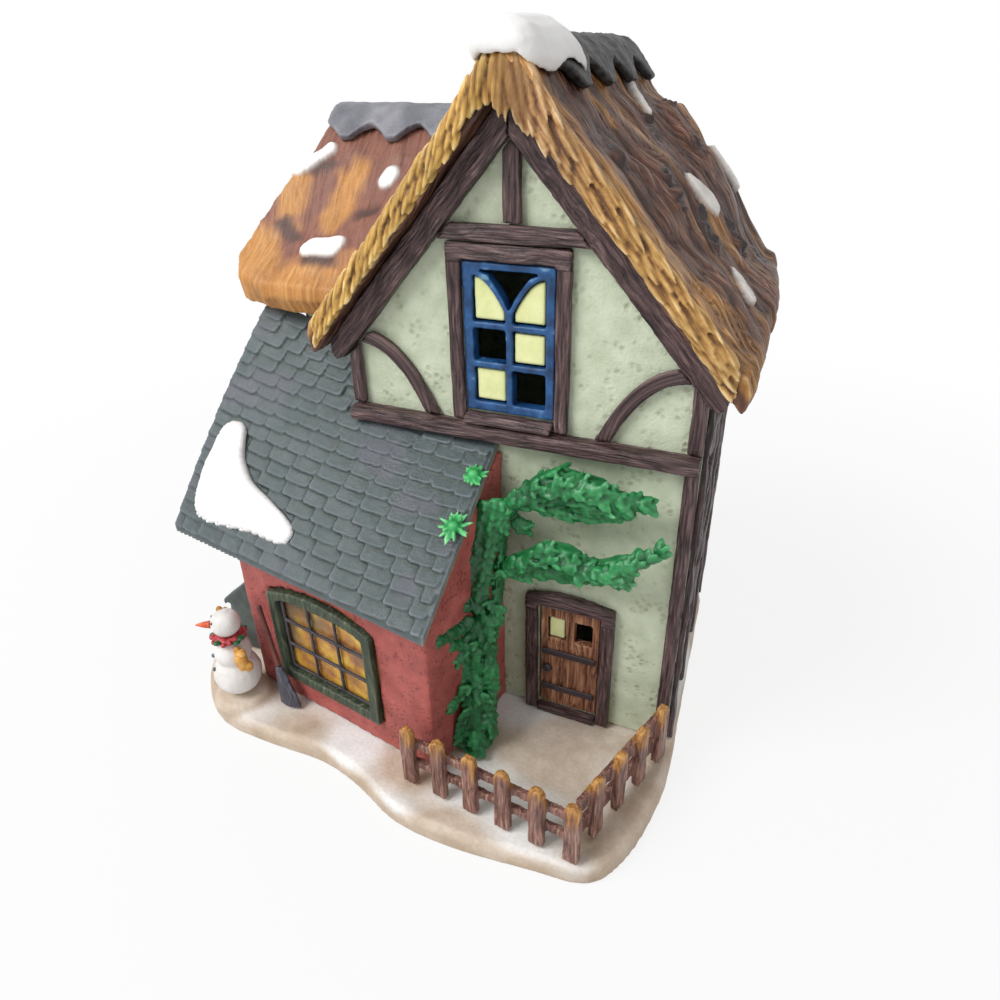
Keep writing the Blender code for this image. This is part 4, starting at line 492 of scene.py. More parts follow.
def timber(direction, seed=0, pitch=0.8, run=10.0, depth=0.3):
    """Relief of a straight timber, its grain along a direction."""
    ahead = Vector(direction).normalized()
    side = ahead.cross(Vector((0, 1, 0)) if abs(ahead.y) < 0.9 else Vector((1, 0, 0))).normalized()
    third = ahead.cross(side)

    def relief(co, normal):
        parts = [co @ np.array(axis) for axis in (ahead, side, third)]
        height, level = grain(*parts, pitch, run, depth, seed)
        bend = 0.5 * noise(co, (6.0, 3.0, 3.0) if ahead.x > 0.7 else (3.0, 3.0, 6.0), seed + 7)
        return height, {"relief": 0.25 + 0.5 * level,
                        "comb": np.stack([parts[0], parts[1] + bend + 11 * seed, parts[2] + bend], 1)}
    return relief


def zoned(choose, first, second):
    """Relief that is one kind where choose(co) is true and another elsewhere."""
    def relief(co, normal):
        (high_a, masks_a), (high_b, masks_b) = first(co, normal), second(co, normal)
        pick = choose(co)
        return (np.where(pick, high_a, high_b),
                {key: np.where(pick if masks_a[key].ndim == 1 else pick[:, None], masks_a[key], masks_b[key])
                 for key in masks_a})
    return relief


def mesh_of(verts, faces):
    """A mesh from points in millimetres, its faces turned outwards."""
    mesh = bpy.data.meshes.new("made")
    mesh.from_pydata((np.asarray(verts, float) * MM).tolist(), [], faces)
    shell = bmesh.new()
    shell.from_mesh(mesh)
    bmesh.ops.recalc_face_normals(shell, faces=shell.faces)
    shell.to_mesh(mesh)
    shell.free()
    return mesh


def ring_faces(count, rings, first=0):
    """Faces between rings of points, each with the same count."""
    return [(first + k * count + i, first + k * count + (i + 1) % count,
             first + (k + 1) * count + (i + 1) % count, first + (k + 1) * count + i)
            for k in range(rings - 1) for i in range(count)]


# Repeated pieces, placed by geometry nodes

def spindle(sides, rings, blunt, fullness):
    """A pointed grain, one long from y = 0 to 1, one wide and one thick."""
    verts = []
    for k in range(rings):
        share = (k + 0.5) / rings
        reach = 0.5 * math.sin(math.pi * share ** blunt) ** fullness
        for i in range(sides):
            angle = 2 * math.pi * i / sides
            verts.append((reach * math.cos(angle), share, reach * math.sin(angle)))
    faces = ring_faces(sides, rings)
    for end, base in ((0.0, 0), (1.0, (rings - 1) * sides)):
        verts.append((0, end, 0))
        faces += [(len(verts) - 1, base + i, base + (i + 1) % sides) for i in range(sides)]
    return verts, faces


def slate_shape():
    """One slate, one wide, one long down the slope and one thick, its rim a little raised."""
    outline = [(-0.5, 0.0), (-0.5, 0.78), (-0.45, 0.93), (-0.34, 0.99), (0.38, 1.0), (0.47, 0.95),
               (0.5, 0.82), (0.5, 0.0)]
    verts = []
    for inset, height in ((0.0, -0.6), (0.0, 0.55), (0.035, 1.0), (0.07, 0.72)):
        for x, y in outline:
            raised = 1.0 if inset < 0.03 else 0.55 + 0.45 * (y > 0.5 or x > 0)
            verts.append((x * (1 - 2 * inset), 0.5 + (y - 0.5) * (1 - 3.6 * inset), height * raised))
    count = len(outline)
    return verts, ring_faces(count, 4) + [tuple(range(count)), tuple(range(3 * count, 4 * count))]


def template(name, shape):
    """A shape for geometry nodes to place many times. It is one millimetre in each direction, so
    that the sizes given to the nodes are plain millimetres."""
    made = bpy.data.objects.new(name, mesh_of(*shape))
    bpy.context.scene.collection.objects.link(made)
    return made


def placing_tree(name):
    """Geometry nodes that put a shape at points, turned and sized as each point says."""
    tree = bpy.data.node_groups.new(name, "GeometryNodeTree")
    face = tree.interface
    face.new_socket("Geometry", in_out="INPUT", socket_type="NodeSocketGeometry")
    for label, kind in (("Shape", "Object"), ("Finish", "Material"), ("Width", "Float"), ("Length", "Float"),
                        ("Thickness", "Float"), ("Variation", "Float"), ("Turn", "Float"), ("Tilt", "Float"),
                        ("Seed", "Int")):
        face.new_socket(label, in_out="INPUT", socket_type="NodeSocket" + kind)
    face.new_socket("Geometry", in_out="OUTPUT", socket_type="NodeSocketGeometry")
    link = tree.links.new

    def new(kind, **values):
        return node_in(tree, kind, **values)

    given = new("NodeGroupInput").outputs
    result = new("NodeGroupOutput")
    info = new("GeometryNodeObjectInfo")
    link(given["Shape"], info.inputs["Object"])

    def named(label):
        return new("GeometryNodeInputNamedAttribute", data_type="FLOAT_VECTOR",
                   Name=label).outputs["Attribute"]

    upright = new("FunctionNodeAlignRotationToVector", axis="Z")
    link(named("facing"), upright.inputs["Vector"])
    ahead = new("FunctionNodeAlignRotationToVector", axis="Y", pivot_axis="Z")
    link(upright.outputs["Rotation"], ahead.inputs["Rotation"])
    link(named("aim"), ahead.inputs["Vector"])

    def chance(low, high, offset):
        node = new("FunctionNodeRandomValue", data_type="FLOAT")
        for socket, value in zip([s for s in node.inputs if s.name in ("Min", "Max") and s.enabled],
                                 (low, high)):
            if isinstance(value, float):
                socket.default_value = value
            else:
                link(value, socket)
        link(maths(tree, "ADD", given["Seed"], offset), node.inputs["Seed"])
        return [s for s in node.outputs if s.enabled][0]

    swing = new("ShaderNodeCombineXYZ")
    link(maths(tree, "MULTIPLY", given["Tilt"], chance(0.5, 1.3, 1)), swing.inputs["X"])
    link(maths(tree, "MULTIPLY", given["Turn"], chance(-1.0, 1.0, 2)), swing.inputs["Z"])
    euler = new("FunctionNodeEulerToRotation")
    link(swing.outputs[0], euler.inputs[0])
    turned = new("FunctionNodeRotateRotation", rotation_space="LOCAL")
    link(ahead.outputs["Rotation"], turned.inputs["Rotation"])
    link(euler.outputs[0], turned.inputs["Rotate By"])
    size = new("ShaderNodeCombineXYZ")
    less = maths(tree, "SUBTRACT", 1.0, given["Variation"])
    more = maths(tree, "ADD", 1.0, given["Variation"])
    for k, label in enumerate(("Width", "Length", "Thickness")):
        link(maths(tree, "MULTIPLY", given[label], chance(less, more, 3 + k)), size.inputs[k])
    own = new("ShaderNodeVectorMath", operation="MULTIPLY")
    link(size.outputs[0], own.inputs[0])
    link(named("size"), own.inputs[1])
    put = new("GeometryNodeInstanceOnPoints")
    link(given["Geometry"], put.inputs["Points"])
    link(info.outputs["Geometry"], put.inputs["Instance"])
    link(turned.outputs["Rotation"], put.inputs["Rotation"])
    link(own.outputs[0], put.inputs["Scale"])
    real = new("GeometryNodeRealizeInstances")
    link(put.outputs[0], real.inputs[0])
    coat = new("GeometryNodeSetMaterial")
    link(real.outputs[0], coat.inputs["Geometry"])
    link(given["Finish"], coat.inputs["Material"])
    link(coat.outputs[0], result.inputs[0])
    return tree


AT_POINTS = placing_tree("place at points")


def aimed_points(spots):
    """A mesh of loose points with an aim, a facing and a size, from rows of those."""
    mesh = bpy.data.meshes.new("points")
    mesh.from_pydata([[c * MM for c in spot[0]] for spot in spots], [], [])
    set_masks(mesh, {label: [spot[k] for spot in spots]
                     for k, label in ((1, "aim"), (2, "facing"), (3, "size"))})
    return mesh


def gathered(spots, shape, look, variation, turn=0.0, tilt=0.0):
    """Copies of a shape at each spot as one mesh."""
    holder = bpy.data.objects.new("holder", aimed_points(spots))
    bpy.context.scene.collection.objects.link(holder)
    step = holder.modifiers.new("place", "NODES")
    step.node_group = AT_POINTS
    values = {"Shape": shape, "Finish": look, "Width": 1.0, "Length": 1.0, "Thickness": 1.0,
              "Variation": variation, "Turn": turn, "Tilt": tilt, "Seed": 1}
    for item in AT_POINTS.interface.items_tree:
        if item.in_out == "INPUT" and item.name in values:
            step[item.identifier] = values[item.name]
    return worked(holder)


def roof_line(x):
    """Underside of the main thatch."""
    return APEX - ROOF_PITCH * np.abs(x)


def thatch_top(x):
    """Outer face of the main thatch, with its roll along the ridge."""
    x = np.abs(x)
    shoulder = THATCH_TOP - ROOF_PITCH * ROLL_HALF
    roll = shoulder + (ROLL_TOP - shoulder) * np.cos(np.clip(x / ROLL_HALF, 0, 1) * math.pi / 2)
    return np.where(x < ROLL_HALF, roll, THATCH_TOP - ROOF_PITCH * x)


def slate_eave_y(x):
    """Front eave of the slate roof."""
    slope = (SLATE_EAVE_LEFT[1] - SLATE_EAVE_RIGHT[1]) / (SLATE_EAVE_LEFT[0] - SLATE_EAVE_RIGHT[0])
    return SLATE_EAVE_RIGHT[1] + slope * (x - SLATE_EAVE_RIGHT[0])


def slate_height(x, y):
    """Upper face of the twisted slate roof, straight along Y and level along its eave."""
    rise = SLATE_TOP_HEIGHT - SLATE_TOP_RISE * x - SLATE_EAVE_HEIGHT
    return SLATE_EAVE_HEIGHT + rise * (1 - y / slate_eave_y(x))


# Walls and timbers

def painted(**looks):
    """Nodes that keep their solids and take a finish."""
    for node, look in looks.items():
        NODES[node].data.materials.clear()
        NODES[node].data.materials.append(look)


def lumpy(size, height, seed=0):
    """Relief of hand-pressed clay, swelling and sinking."""
    def relief(co, normal):
        swell = noise(co, size, seed) + 0.5 * noise(co, size * 0.4, seed + 1)
        return height * swell, {"relief": np.clip(0.5 + 0.35 * swell, 0, 1)}
    return relief


def brace_grain(side, turn_x=40, turn_z=84):
    """Relief of a curved brace, its grain sweeping round a point by the jetty beam's end."""
    def relief(co, normal):
        x, z = np.abs(co[:, 0]), co[:, 2]
        along = z - 0.4 * x
        across = np.hypot(turn_x - x, turn_z - z)
        height, level = grain(along, across, co[:, 1], 0.9, 9.0, 0.3, 3 + side)
        return height, {"relief": 0.25 + 0.5 * level, "comb": np.stack([along, across, co[:, 1]], 1)}
    return relief


WINDOW_BOARDS = zoned(lambda co: co[:, 2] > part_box("casement_frame")[1][2] / MM,
                      timber((1, 0, 0), 16), timber((0, 0, 1), 16))
DOOR_BOARDS = zoned(lambda co: co[:, 2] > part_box("door_leaf")[1][2] / MM - 1.5,
                    timber((1, 0, 0), 32), timber((0, 0, 1), 32))


def timbers():
    """Dark framing, cast over the gable and corners."""
    sets = (("barge_left", timber((-1, 0, -ROOF_PITCH), 11)),
            ("barge_right", timber((1, 0, -ROOF_PITCH), 12)),
            ("king_post", timber((0, 0, 1), 13)), ("collar_beam", timber((1, 0, 0), 14)),
            ("jetty_beam", timber((1, 0, 0.02), 15)), ("window_surround", WINDOW_BOARDS),
            ("window_sill", timber((1, 0, 0), 17)), ("corner_post_left", timber((0, 0, 1), 18)),
            ("corner_post_right", timber((0, 0, 1), 19)), ("corner_post_lower", timber((0, 0, 1), 20)),
            ("door_step", timber((1, 0, 0), 21)), ("brace_left", brace_grain(0)),
            ("brace_right", brace_grain(1)))
    for name, relief in sets:
        cast(name + "_carved", [name], 0.33, TIMBER, relief, soften=4, slot="dark_timber")


# Beams as two ends and a width: the ends are (y, z) on the right wall and the wing's end wall, and
# (x, z) on the back wall
RIGHT_BEAMS = (((1.9, 6.5), (1.9, 102.5), 3.6), ((22.5, 6.5), (22.5, 84.0), 3.0),
               ((43.5, 6.5), (43.5, 84.0), 3.0), ((63.8, 6.5), (63.8, 102.5), 3.4),
               ((33.0, 86.0), (33.0, 102.0), 2.8), ((2.0, 84.8), (64.5, 84.8), 3.2),
               ((2.0, 45.5), (64.5, 45.5), 3.0), ((2.0, 103.2), (64.5, 103.2), 3.0),
               ((3.2, 47.0), (21.4, 82.8), 2.6), ((62.6, 47.0), (44.8, 82.8), 2.6))
BACK_BEAMS = (((-38.2, 6.5), (-38.2, 104.0), 3.4), ((33.6, 6.5), (33.6, 104.0), 3.4),
              ((-38.2, 84.8), (33.6, 84.8), 3.2), ((-38.2, 50.0), (33.6, 50.0), 3.0),
              ((-2.2, 86.2), (-2.2, 143.0), 3.2), ((-27.0, 117.5), (24.0, 117.5), 3.0),
              ((-21.0, 51.4), (-21.0, 83.4), 2.8), ((16.6, 51.4), (16.6, 83.4), 2.8),
              ((-36.8, 86.2), (-22.6, 116.0), 2.6), ((32.2, 86.2), (19.4, 116.0), 2.6))
WING_BEAMS = (((13.8, 6.5), (13.8, 108.0), 3.2), ((66.2, 6.5), (66.2, 108.0), 3.2),
              ((40.0, 86.2), (40.0, 132.0), 3.0), ((13.8, 84.8), (66.2, 84.8), 3.2),
              ((22.0, 113.5), (58.0, 113.5), 2.8), ((40.0, 40.0), (40.0, 83.4), 2.8),
              ((13.8, 40.0), (66.2, 40.0), 2.8))


def beams(rows, wall, out, proud=1.3):
    """Straight beams as closed boxes, a little let into a wall."""
    out = np.array(out) / np.linalg.norm(out)
    verts, faces = [], []
    for start, end, width in rows:
        start, end = np.array(wall(*start)), np.array(wall(*end))
        run = (end - start) / np.linalg.norm(end - start)
        side = np.cross(run, out)
        first = len(verts)
        for along in (start, end):
            for s, o in ((-1, -0.4), (1, -0.4), (1, proud), (-1, proud)):
                verts.append(along + side * s * width / 2 + out * o)
        faces += [tuple(first + k for k in face) for face in
                  ((0, 1, 2, 3), (7, 6, 5, 4), (0, 4, 5, 1), (1, 5, 6, 2), (2, 6, 7, 3), (3, 7, 4, 0))]
    return mesh_of(verts, faces)


def wall_timbers():
    """Half-timbering of the sides that the picture shows edge-on or not at all."""
    house_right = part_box("house_shell")[1][0] / MM
    for name, rows, wall, out in (
            ("right_wall", RIGHT_BEAMS, lambda y, z: (house_right - BACK_NARROWING * y / HOUSE_DEPTH, y, z),
             (1, BACK_NARROWING / HOUSE_DEPTH, 0)),
            ("back_wall", BACK_BEAMS, lambda x, z: (x, HOUSE_DEPTH, z), (0, 1, 0)),
            ("wing_wall", WING_BEAMS, lambda y, z: (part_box("wing_shell")[0][0] / MM, y, z), (-1, 0, 0))):
        level = [row for row in rows if row[0][1] == row[1][1]]
        upright = [row for row in rows if row not in level]
        across = (1, 0, 0) if name == "back_wall" else (0, 1, 0)
        for part, some, way in (("rails", level, across), ("posts", upright, (0, 0, 1))):
            mesh = skin(beams(some, wall, out), 0.42, 3)
            co, normal = points_of(mesh)
            height, masks = timber(way, 23, 0.9, 9.0, 0.3)(co, normal)
            # Painted shade: the timbers of the side and back walls are painted darker than those at the front
            masks["relief"] = masks["relief"] * 0.7
            put_points(mesh, co + normal * (height + 0.35 * noise(co, 5, 24))[:, None])
            set_masks(mesh, masks)
            place(name + "_" + part, mesh, TIMBER, slot="dark_timber")


def pane_relief(co, normal):
    """Old bubbled panes, the upper left ones dark."""
    height, masks = lumpy(2.5, 0.10, 38)(co, normal)
    low, high = (np.array(v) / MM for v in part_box("shop_window_glazing"))
    left = 1 - (co[:, 0] - low[0]) / (high[0] - low[0])
    top = (co[:, 2] - low[2]) / (high[2] - low[2])
    masks["dark"] = 0.85 * ramp(left + top + 0.25 * noise(co, 5, 39), 1.15, 1.55)
    return height, masks


def openings():
    """Casement, door and shop window with their panes."""
    cast("casement_bars", ["casement_frame"], 0.26, BLUE_PAINT, lumpy(2.0, 0.05, 30), 2,
         slot="casement_blue", painted_hollow_shade=0.9)
    for name in ("casement_pane_upper_left", "casement_pane_upper_right", "casement_pane_right",
                 "casement_pane_left"):
        cast(name + "_glazed", [name], 0.35, PANE_PAINT, lumpy(3.0, 0.05, 31), 2, slot="pale_yellow")
    cast("door_frame_carved", ["door_frame"], 0.33, TIMBER, DOOR_BOARDS, 4, slot="dark_timber")
    cast("door_planks", ["door_leaf"], 0.3, DOOR_PAINT, timber((0, 0, 1), 33, 0.7, 9.0, 0.22), 2,
         slot="door_brown", painted_hollow_shade=1.0)
    cast("door_light", ["door_pane"], 0.35, PANE_PAINT, lumpy(2.0, 0.04, 34), 1, slot="pale_yellow")
    for name in ("door_strap_upper", "door_strap_lower", "door_latch"):
        cast(name + "_forged", [name], 0.25, IRON_PAINT, lumpy(1.5, 0.06, 35), 2, slot="iron_black")
    cast("shop_window_wood", ["shop_window_frame"], 0.35, GREEN_PAINT, timber((0, 0, 1), 36, 1.0, 8.0, 0.2),
         4, slot="window_green", painted_hollow_shade=0.8)
    cast("shop_leading_cast", ["shop_window_leading"], 0.3, LEAD_PAINT, lumpy(1.5, 0.08, 37), 3,
         slot="leading")
    cast("shop_glazing_cast", ["shop_window_glazing"], 0.45, AMBER_PAINT, pane_relief, 2, slot="amber")


def shop_walls():
    """Pressed red walls of the shop front, and the shed."""
    cast("shop_walls_pressed", ["shop_walls"], 0.7, RED_PAINT, lumpy(6.0, 0.25, 40), 3, slot="brick_red")
    cast("side_shed_pressed", ["side_shed"], 0.7, SHADED_SHED_PAINT, lumpy(5.0, 0.3, 41), 3, slot="slate")


# Thatch

def straw(along, across, deep, pitch, run, seed):
    """Level of combed straw: strands in clumps that wander and dip under one another."""
    base = np.stack([along, across, deep], 1)
    bend = noise(base, (14, 9, 9), seed) * 2.2 + noise(base, (6, 4, 4), seed + 1) * 0.8
    moved = np.stack([along, across + bend, deep], 1)
    clump = noise(moved, (run * 1.2, pitch * 3.2, 30), seed + 2)
    strand = np.sqrt(np.abs(noise(moved, (run, pitch, 30), seed + 3)))
    hair = noise(moved, (run * 0.7, pitch * 0.45, 30), seed + 4)
    return clump, strand, hair


def along_segment(x, y, start, end, radius, soft=1.0):
    """Mask of a rounded strip between two plan points."""
    run = np.array(end, float) - np.array(start, float)
    share = ((x - start[0]) * run[0] + (y - start[1]) * run[1]) / max(1e-6, run @ run)
    share = np.clip(share, 0, 1)
    away = np.hypot(x - start[0] - share * run[0], y - start[1] - share * run[1])
    return 1 - ramp(away, radius - soft * 0.5, radius + soft * 0.5)


# Rounded strips on the thatch, as plan start, plan end and radius, with distances down the slope
MAIN_SNOW = (((10.7, 47.5), (19.6, 42.2), 1.5), ((39.6, 31.5), (45.0, 37.5), 2.4),
             ((37.5, 66.0), (46.0, 63.5), 1.9), ((57.5, 26.0), (63.5, 19.5), 1.9),
             ((-50.0, 3.0), (-56.0, 3.0), 1.4))
MAIN_KNOTS = (((23.0, 8.5), (27.0, 7.6), 1.9), ((22.5, 39.0), (25.5, 36.8), 2.0),
              ((36.0, 20.5), (40.0, 18.6), 2.2), ((45.5, 29.6), (49.5, 28.0), 2.3),
              ((33.0, 52.0), (37.0, 50.6), 1.9), ((52.0, 44.0), (56.0, 42.0), 2.1),
              ((59.0, 55.0), (62.0, 54.0), 1.8), ((20.0, 60.0), (23.0, 59.0), 1.7))
WING_SNOW = (((-67.4, 21.5), (-60.4, 14.8), 1.7), ((-57.2, 40.0), (-51.0, 40.2), 3.1),
             ((-42.2, 19.4), (-42.8, 20.6), 2.2))
WING_GOLD = (((-51.5, 19.5), (-54.6, 31.0), 3.6), ((-66.8, 24.0), (-67.4, 31.0), 3.4))
WING_DARK = (((-67.5, 34.2), (-64.0, 36.4), 1.9), ((-46.5, 30.2), (-44.0, 29.6), 2.3),
             ((-63.0, 19.6), (-59.5, 19.0), 2.0), ((-57.0, 43.8), (-51.0, 44.0), 1.9))


def strips(x, y, rows, soft=1.0):
    """The strongest of several strip masks."""
    return np.max([along_segment(x, y, *row, soft) for row in rows], axis=0)


def main_masks(co):
    """Where the main thatch is golden, knotted or snowed over."""
    x, y, z = co.T
    down, flat = x * STEEP, np.zeros(len(x))
    edge = 0.8 * noise(co, 2.0, 61)
    knot = strips(down + edge, y + edge, MAIN_KNOTS, 1.6)
    snowy = strips(down + 0.5 * edge, y + 0.5 * edge, MAIN_SNOW, 0.9)
    band = np.where(x > 0, 2.5 + 7.0 * ramp(down, 20, 66), 2.0)
    near = 1 - ramp(y + 6.5 + 3.0 * noise(co, 3.0, 62), band, band + 7.0)
    wide = noise(np.stack([down, y, flat], 1), (15, 7, 1), 65)
    golden = np.clip(np.maximum(near, 0.8 * ramp(wide, 0.38, 0.75)), 0, 1)
    golden = np.maximum(golden, along_segment(down, y, (13.5, 17.0), (18.0, 18.5), 2.2, 2.0))
    return {"gold": golden * (1 - knot), "dark": knot * (1 - snowy), "snow": snowy}


def main_thatch_relief(co, normal):
    """Combed straw with knots and patches of snow, flatter on the underside."""
    x, y, z = co.T
    down, flat = np.abs(x) * STEEP, np.zeros(len(x))
    across = y + np.sign(x) * 40
    clump, strand, _ = straw(down, across, flat, 1.25, 8.0, 50)
    lump = noise(co, 9, 57)
    outer = ramp(z - roof_line(x), 3.0, 5.0)
    masks = main_masks(co)
    for key in masks:
        masks[key] = masks[key] * outer
    crater = masks["dark"] * (0.4 + 1.5 * noise(co, 1.6, 58))
    height = (0.75 * (strand - 0.6) + 0.5 * clump + 0.5 * lump * (x > 0)) * (0.35 + 0.65 * outer)
    height = height * (1 - masks["snow"]) + 1.2 * masks["snow"] + crater
    laid = np.stack([down, across, flat], 1)
    curl = 2.4 * noise(laid, (14, 9, 9), 50) + 1.2 * noise(laid, (5, 3.5, 9), 59)
    masks["relief"] = np.clip(0.32 + 0.3 * strand + 0.14 * clump + 0.1 * lump, 0, 1)
    masks["comb"] = np.stack([down, across + curl, flat], 1)
    return height, masks


def wing_thatch_relief(co, normal):
    """Finer straw, golden along its eave and its far corner, mirrored on the back slope."""
    x, y, z = co.T
    down, flat = np.abs(y - WING_RIDGE_Y) * WING_STEEP, np.zeros(len(x))
    clump, strand, hair = straw(down, x, flat, 1.0, 11.0, 70)
    lump = noise(co, 13, 75)
    level = np.clip(0.35 + 0.35 * strand + 0.2 * clump + 0.15 * hair, 0, 1)
    top = ramp(z - (WING_APEX - WING_PITCH * np.abs(y - WING_RIDGE_Y)), 3.0, 5.0)
    edge = 1.2 * noise(co, 3.0, 76)
    across = np.where(y < WING_RIDGE_Y, x, 2 * WING_MIDDLE_X - x)
    snowy = strips(across + 0.3 * edge, down + 0.3 * edge, WING_SNOW, 1.0) * top
    knot = strips(across + edge, down + edge, WING_DARK, 2.6) * top
    golden = strips(across + edge, down + 1.5 * edge, WING_GOLD, 3.6)
    eave = ramp(down + 2 * edge - 0.35 * np.maximum(0, -60 - x), 41, 47)
    corner = ramp(-x + 0.45 * (down - 40) + edge, 64.5, 69.0) * ramp(down, 33, 38)
    golden = np.clip(np.maximum(np.maximum(golden, eave), corner), 0, 1)
    height = 0.3 * (strand - 0.6) + 0.3 * clump + 0.1 * hair + 0.45 * lump
    height = height * (1 - 0.8 * snowy) + 0.8 * snowy
    sweep = 1.6 * noise(np.stack([down, x, flat], 1), (12, 9, 9), 70)
    return height, {"relief": np.maximum(0.25 + 0.5 * level, snowy), "gold": golden * (1 - 0.8 * knot),
                    "dark": knot * (1 - snowy) * 0.9, "snow": snowy,
                    "comb": np.stack([down, x + sweep, flat], 1)}


def thatches():
    """Both thatched roofs."""
    cast("main_thatch_combed", ["main_thatch"], 0.5, THATCH_PAINT, main_thatch_relief, 2, slot="thatch",
         painted_hollow_shade=0.45)
    cast("wing_thatch_combed", ["wing_thatch"], 0.5, WING_PAINT, wing_thatch_relief, 4, slot="thatch",
         painted_hollow_shade=0.25)


def cap_relief(co, normal):
    """Grainy pressed ridge cap."""
    swell = noise(co, 3.5, 90)
    rough = noise(co, 0.9, 91)
    return 0.22 * swell + 0.12 * rough, {"relief": np.clip(0.5 + 0.2 * swell + 0.25 * rough, 0, 1)}


def ridge_snow_relief(co, normal):
    """Drifted snow, its far end thinning into the cap."""
    end = ramp(co[:, 1] - 0.3 * np.abs(co[:, 0]), 10.0, 16.5)[:, None]
    sunk = end * np.stack(np.broadcast_arrays(-0.55 * co[:, 0], 0.0, -5.0), 1)
    return normal * (0.3 * noise(co, 6, 92))[:, None] + sunk, {}


def slate_snow_relief(co, normal):
    """The patch on the slates, pushed out over the courses around it."""
    return 0.65 + 0.3 * noise(co, 6, 93), {}


def caps_and_snow():
    """Ridge caps, and the snow on the main ridge and the slates."""
    cast("main_cap_pressed", ["ridge_cap_main"], 0.42, SHADED_MAIN_CAP_PAINT, cap_relief, 3, slot="ridge_grey", painted_hollow_shade=0.6)
    cast("wing_cap_pressed", ["ridge_cap_wing"], 0.42, WING_CAP_PAINT, lumpy(5.0, 0.18, 94), 7,
         slot="ridge_grey", painted_hollow_shade=0.4)
    lip = ellipsoids([((-1.6, -7.0, 157.4), (3.6, 0.9, 1.9)), ((1.6, -7.1, 157.4), (3.6, 0.9, 1.9))])
    cast("ridge_snow_melted", ["ridge_snow"], 0.45, SNOW_PAINT, ridge_snow_relief, 7, slot="snow_white",
         extra=[lip])
    cast("slate_snow_melted", ["slate_snow"], 0.4, SNOW_PAINT, slate_snow_relief, 9, slot="snow_white")


def verge_relief(co, normal):
    """Combed verge straw, more yellow on the left, with fine lines along the strands."""
    x, y, z = co.T
    lean = np.clip(x / 6.0, -1, 1)
    return 0.05 * noise(co, (1.1, 1.1, 5.0), 66), {
        "relief": 0.50 + 0.08 * noise(co, 4, 67),
        "gold": np.clip(ramp(-x, -4, 4) + 0.5 * ramp(x, 8, 25), 0, 1),
        "comb": np.stack([z, x + lean * z * np.where(x < 0, 0.3, 0.75), y], 1)}


def verge_strands(end, facing, side, rng):
    """Strands of one verge: ropy and hanging on the left, long and laid along the slope on the right."""
    lowest = float(roof_line(THATCH_EDGE)) + 1.0
    edge = THATCH_EDGE - 0.8 if facing < 0 or side < 0 else THATCH_EDGE - BACK_NARROWING - 2.2
    inset = -0.7 if facing < 0 else -1.6
    drop = 0.0 if facing < 0 else 1.6
    rows = ((-0.1, 1.0), (1.7, 0.95), (3.0, 0.6)) if side < 0 else (
        (-0.1, 1.0), (0.8, 1.0), (1.7, 1.0), (2.6, 0.9), (3.5, 0.7))
    spots = []
    for row, (reach, share) in enumerate(rows):
        x = -0.6 + 0.9 * row
        while x < edge - 0.5:
            apex = 1 - min(1.0, max(0.0, x) / 8.0)
            start = reach + drop + rng.normal(0, 0.15)
            z = float(thatch_top(x)) - start * STEEP
            y = end + facing * (inset + 0.28 * row + rng.normal(0, 0.08))
            lean = rng.normal(0, 0.05)
            if side < 0:
                aim = np.array((-0.34 * (1 - apex) + lean, facing * 0.10, -1.0))
                size = (rng.uniform(1.35, 1.7), rng.uniform(6.4, 7.6) * share, rng.uniform(1.3, 1.6))
                step = rng.uniform(1.45, 1.8)
            else:
                steep = 1.55 - 0.33 * min(1.0, max(0.0, x) / 24)
                aim = np.array(((1 - apex) + 0.06 + lean, facing * 0.05, -steep))
                size = (rng.uniform(1.15, 1.6), rng.uniform(8.5, 11.5) * share, rng.uniform(1.2, 1.6))
                step = rng.uniform(2.0, 2.8) if apex < 0.3 else rng.uniform(1.2, 1.7)
            length = np.linalg.norm(aim)
            room = min((z - lowest) * length / -aim[2],
                       (edge - x) * length / max(0.05, abs(aim[0])))
            if room > 2.0:
                spots.append(((side * x, y, z), aim, (0.0, facing * 1.0, 0.3),
                              (size[0], min(size[1], room), size[2])))
            x += step
    return spots


def verge_straw():
    """Straw combed over both ends of the main thatch, cast with soft edges."""
    shape = template("strand", spindle(8, 8, 0.85, 0.62))
    rng = np.random.default_rng(7)
    for end, facing, label in ((VERGE_FRONT, -1, "front"), (VERGE_BACK, 1, "back")):
        spots = verge_strands(end, facing, -1, rng) + verge_strands(end, facing, 1, rng)
        mesh = skin(gathered(spots, shape, VERGE_PAINT, 0.05, 0.05), 0.3, 1)
        co, normal = points_of(mesh)
        height, masks = verge_relief(co, normal)
        # Painted shade between the strands and painted highlight on them, from how far each point stands out
        masks["relief"] = np.clip(masks["relief"] + 1.9 * np.maximum(standing_out(mesh, 10), -0.16), 0, 1)
        put_points(mesh, co + normal * height[:, None])
        set_masks(mesh, masks)
        place("verge_straw_" + label, mesh, VERGE_PAINT, slot="thatch")
    bpy.data.objects.remove(shape)


# Slates

def slate_spot(t, share):
    """A point on the slate roof: t from its right edge to its left, share from eave to top."""
    low = [a + (b - a) * t for a, b in zip(SLATE_EAVE_RIGHT, SLATE_EAVE_LEFT)]
    high = (SLATE_TOP_RIGHT + (SLATE_TOP_LEFT - SLATE_TOP_RIGHT) * t, SLATE_TOP_Y)
    x, y = (a + (b - a) * share for a, b in zip(low, high))
    return np.array((x, y, slate_height(x, y)))


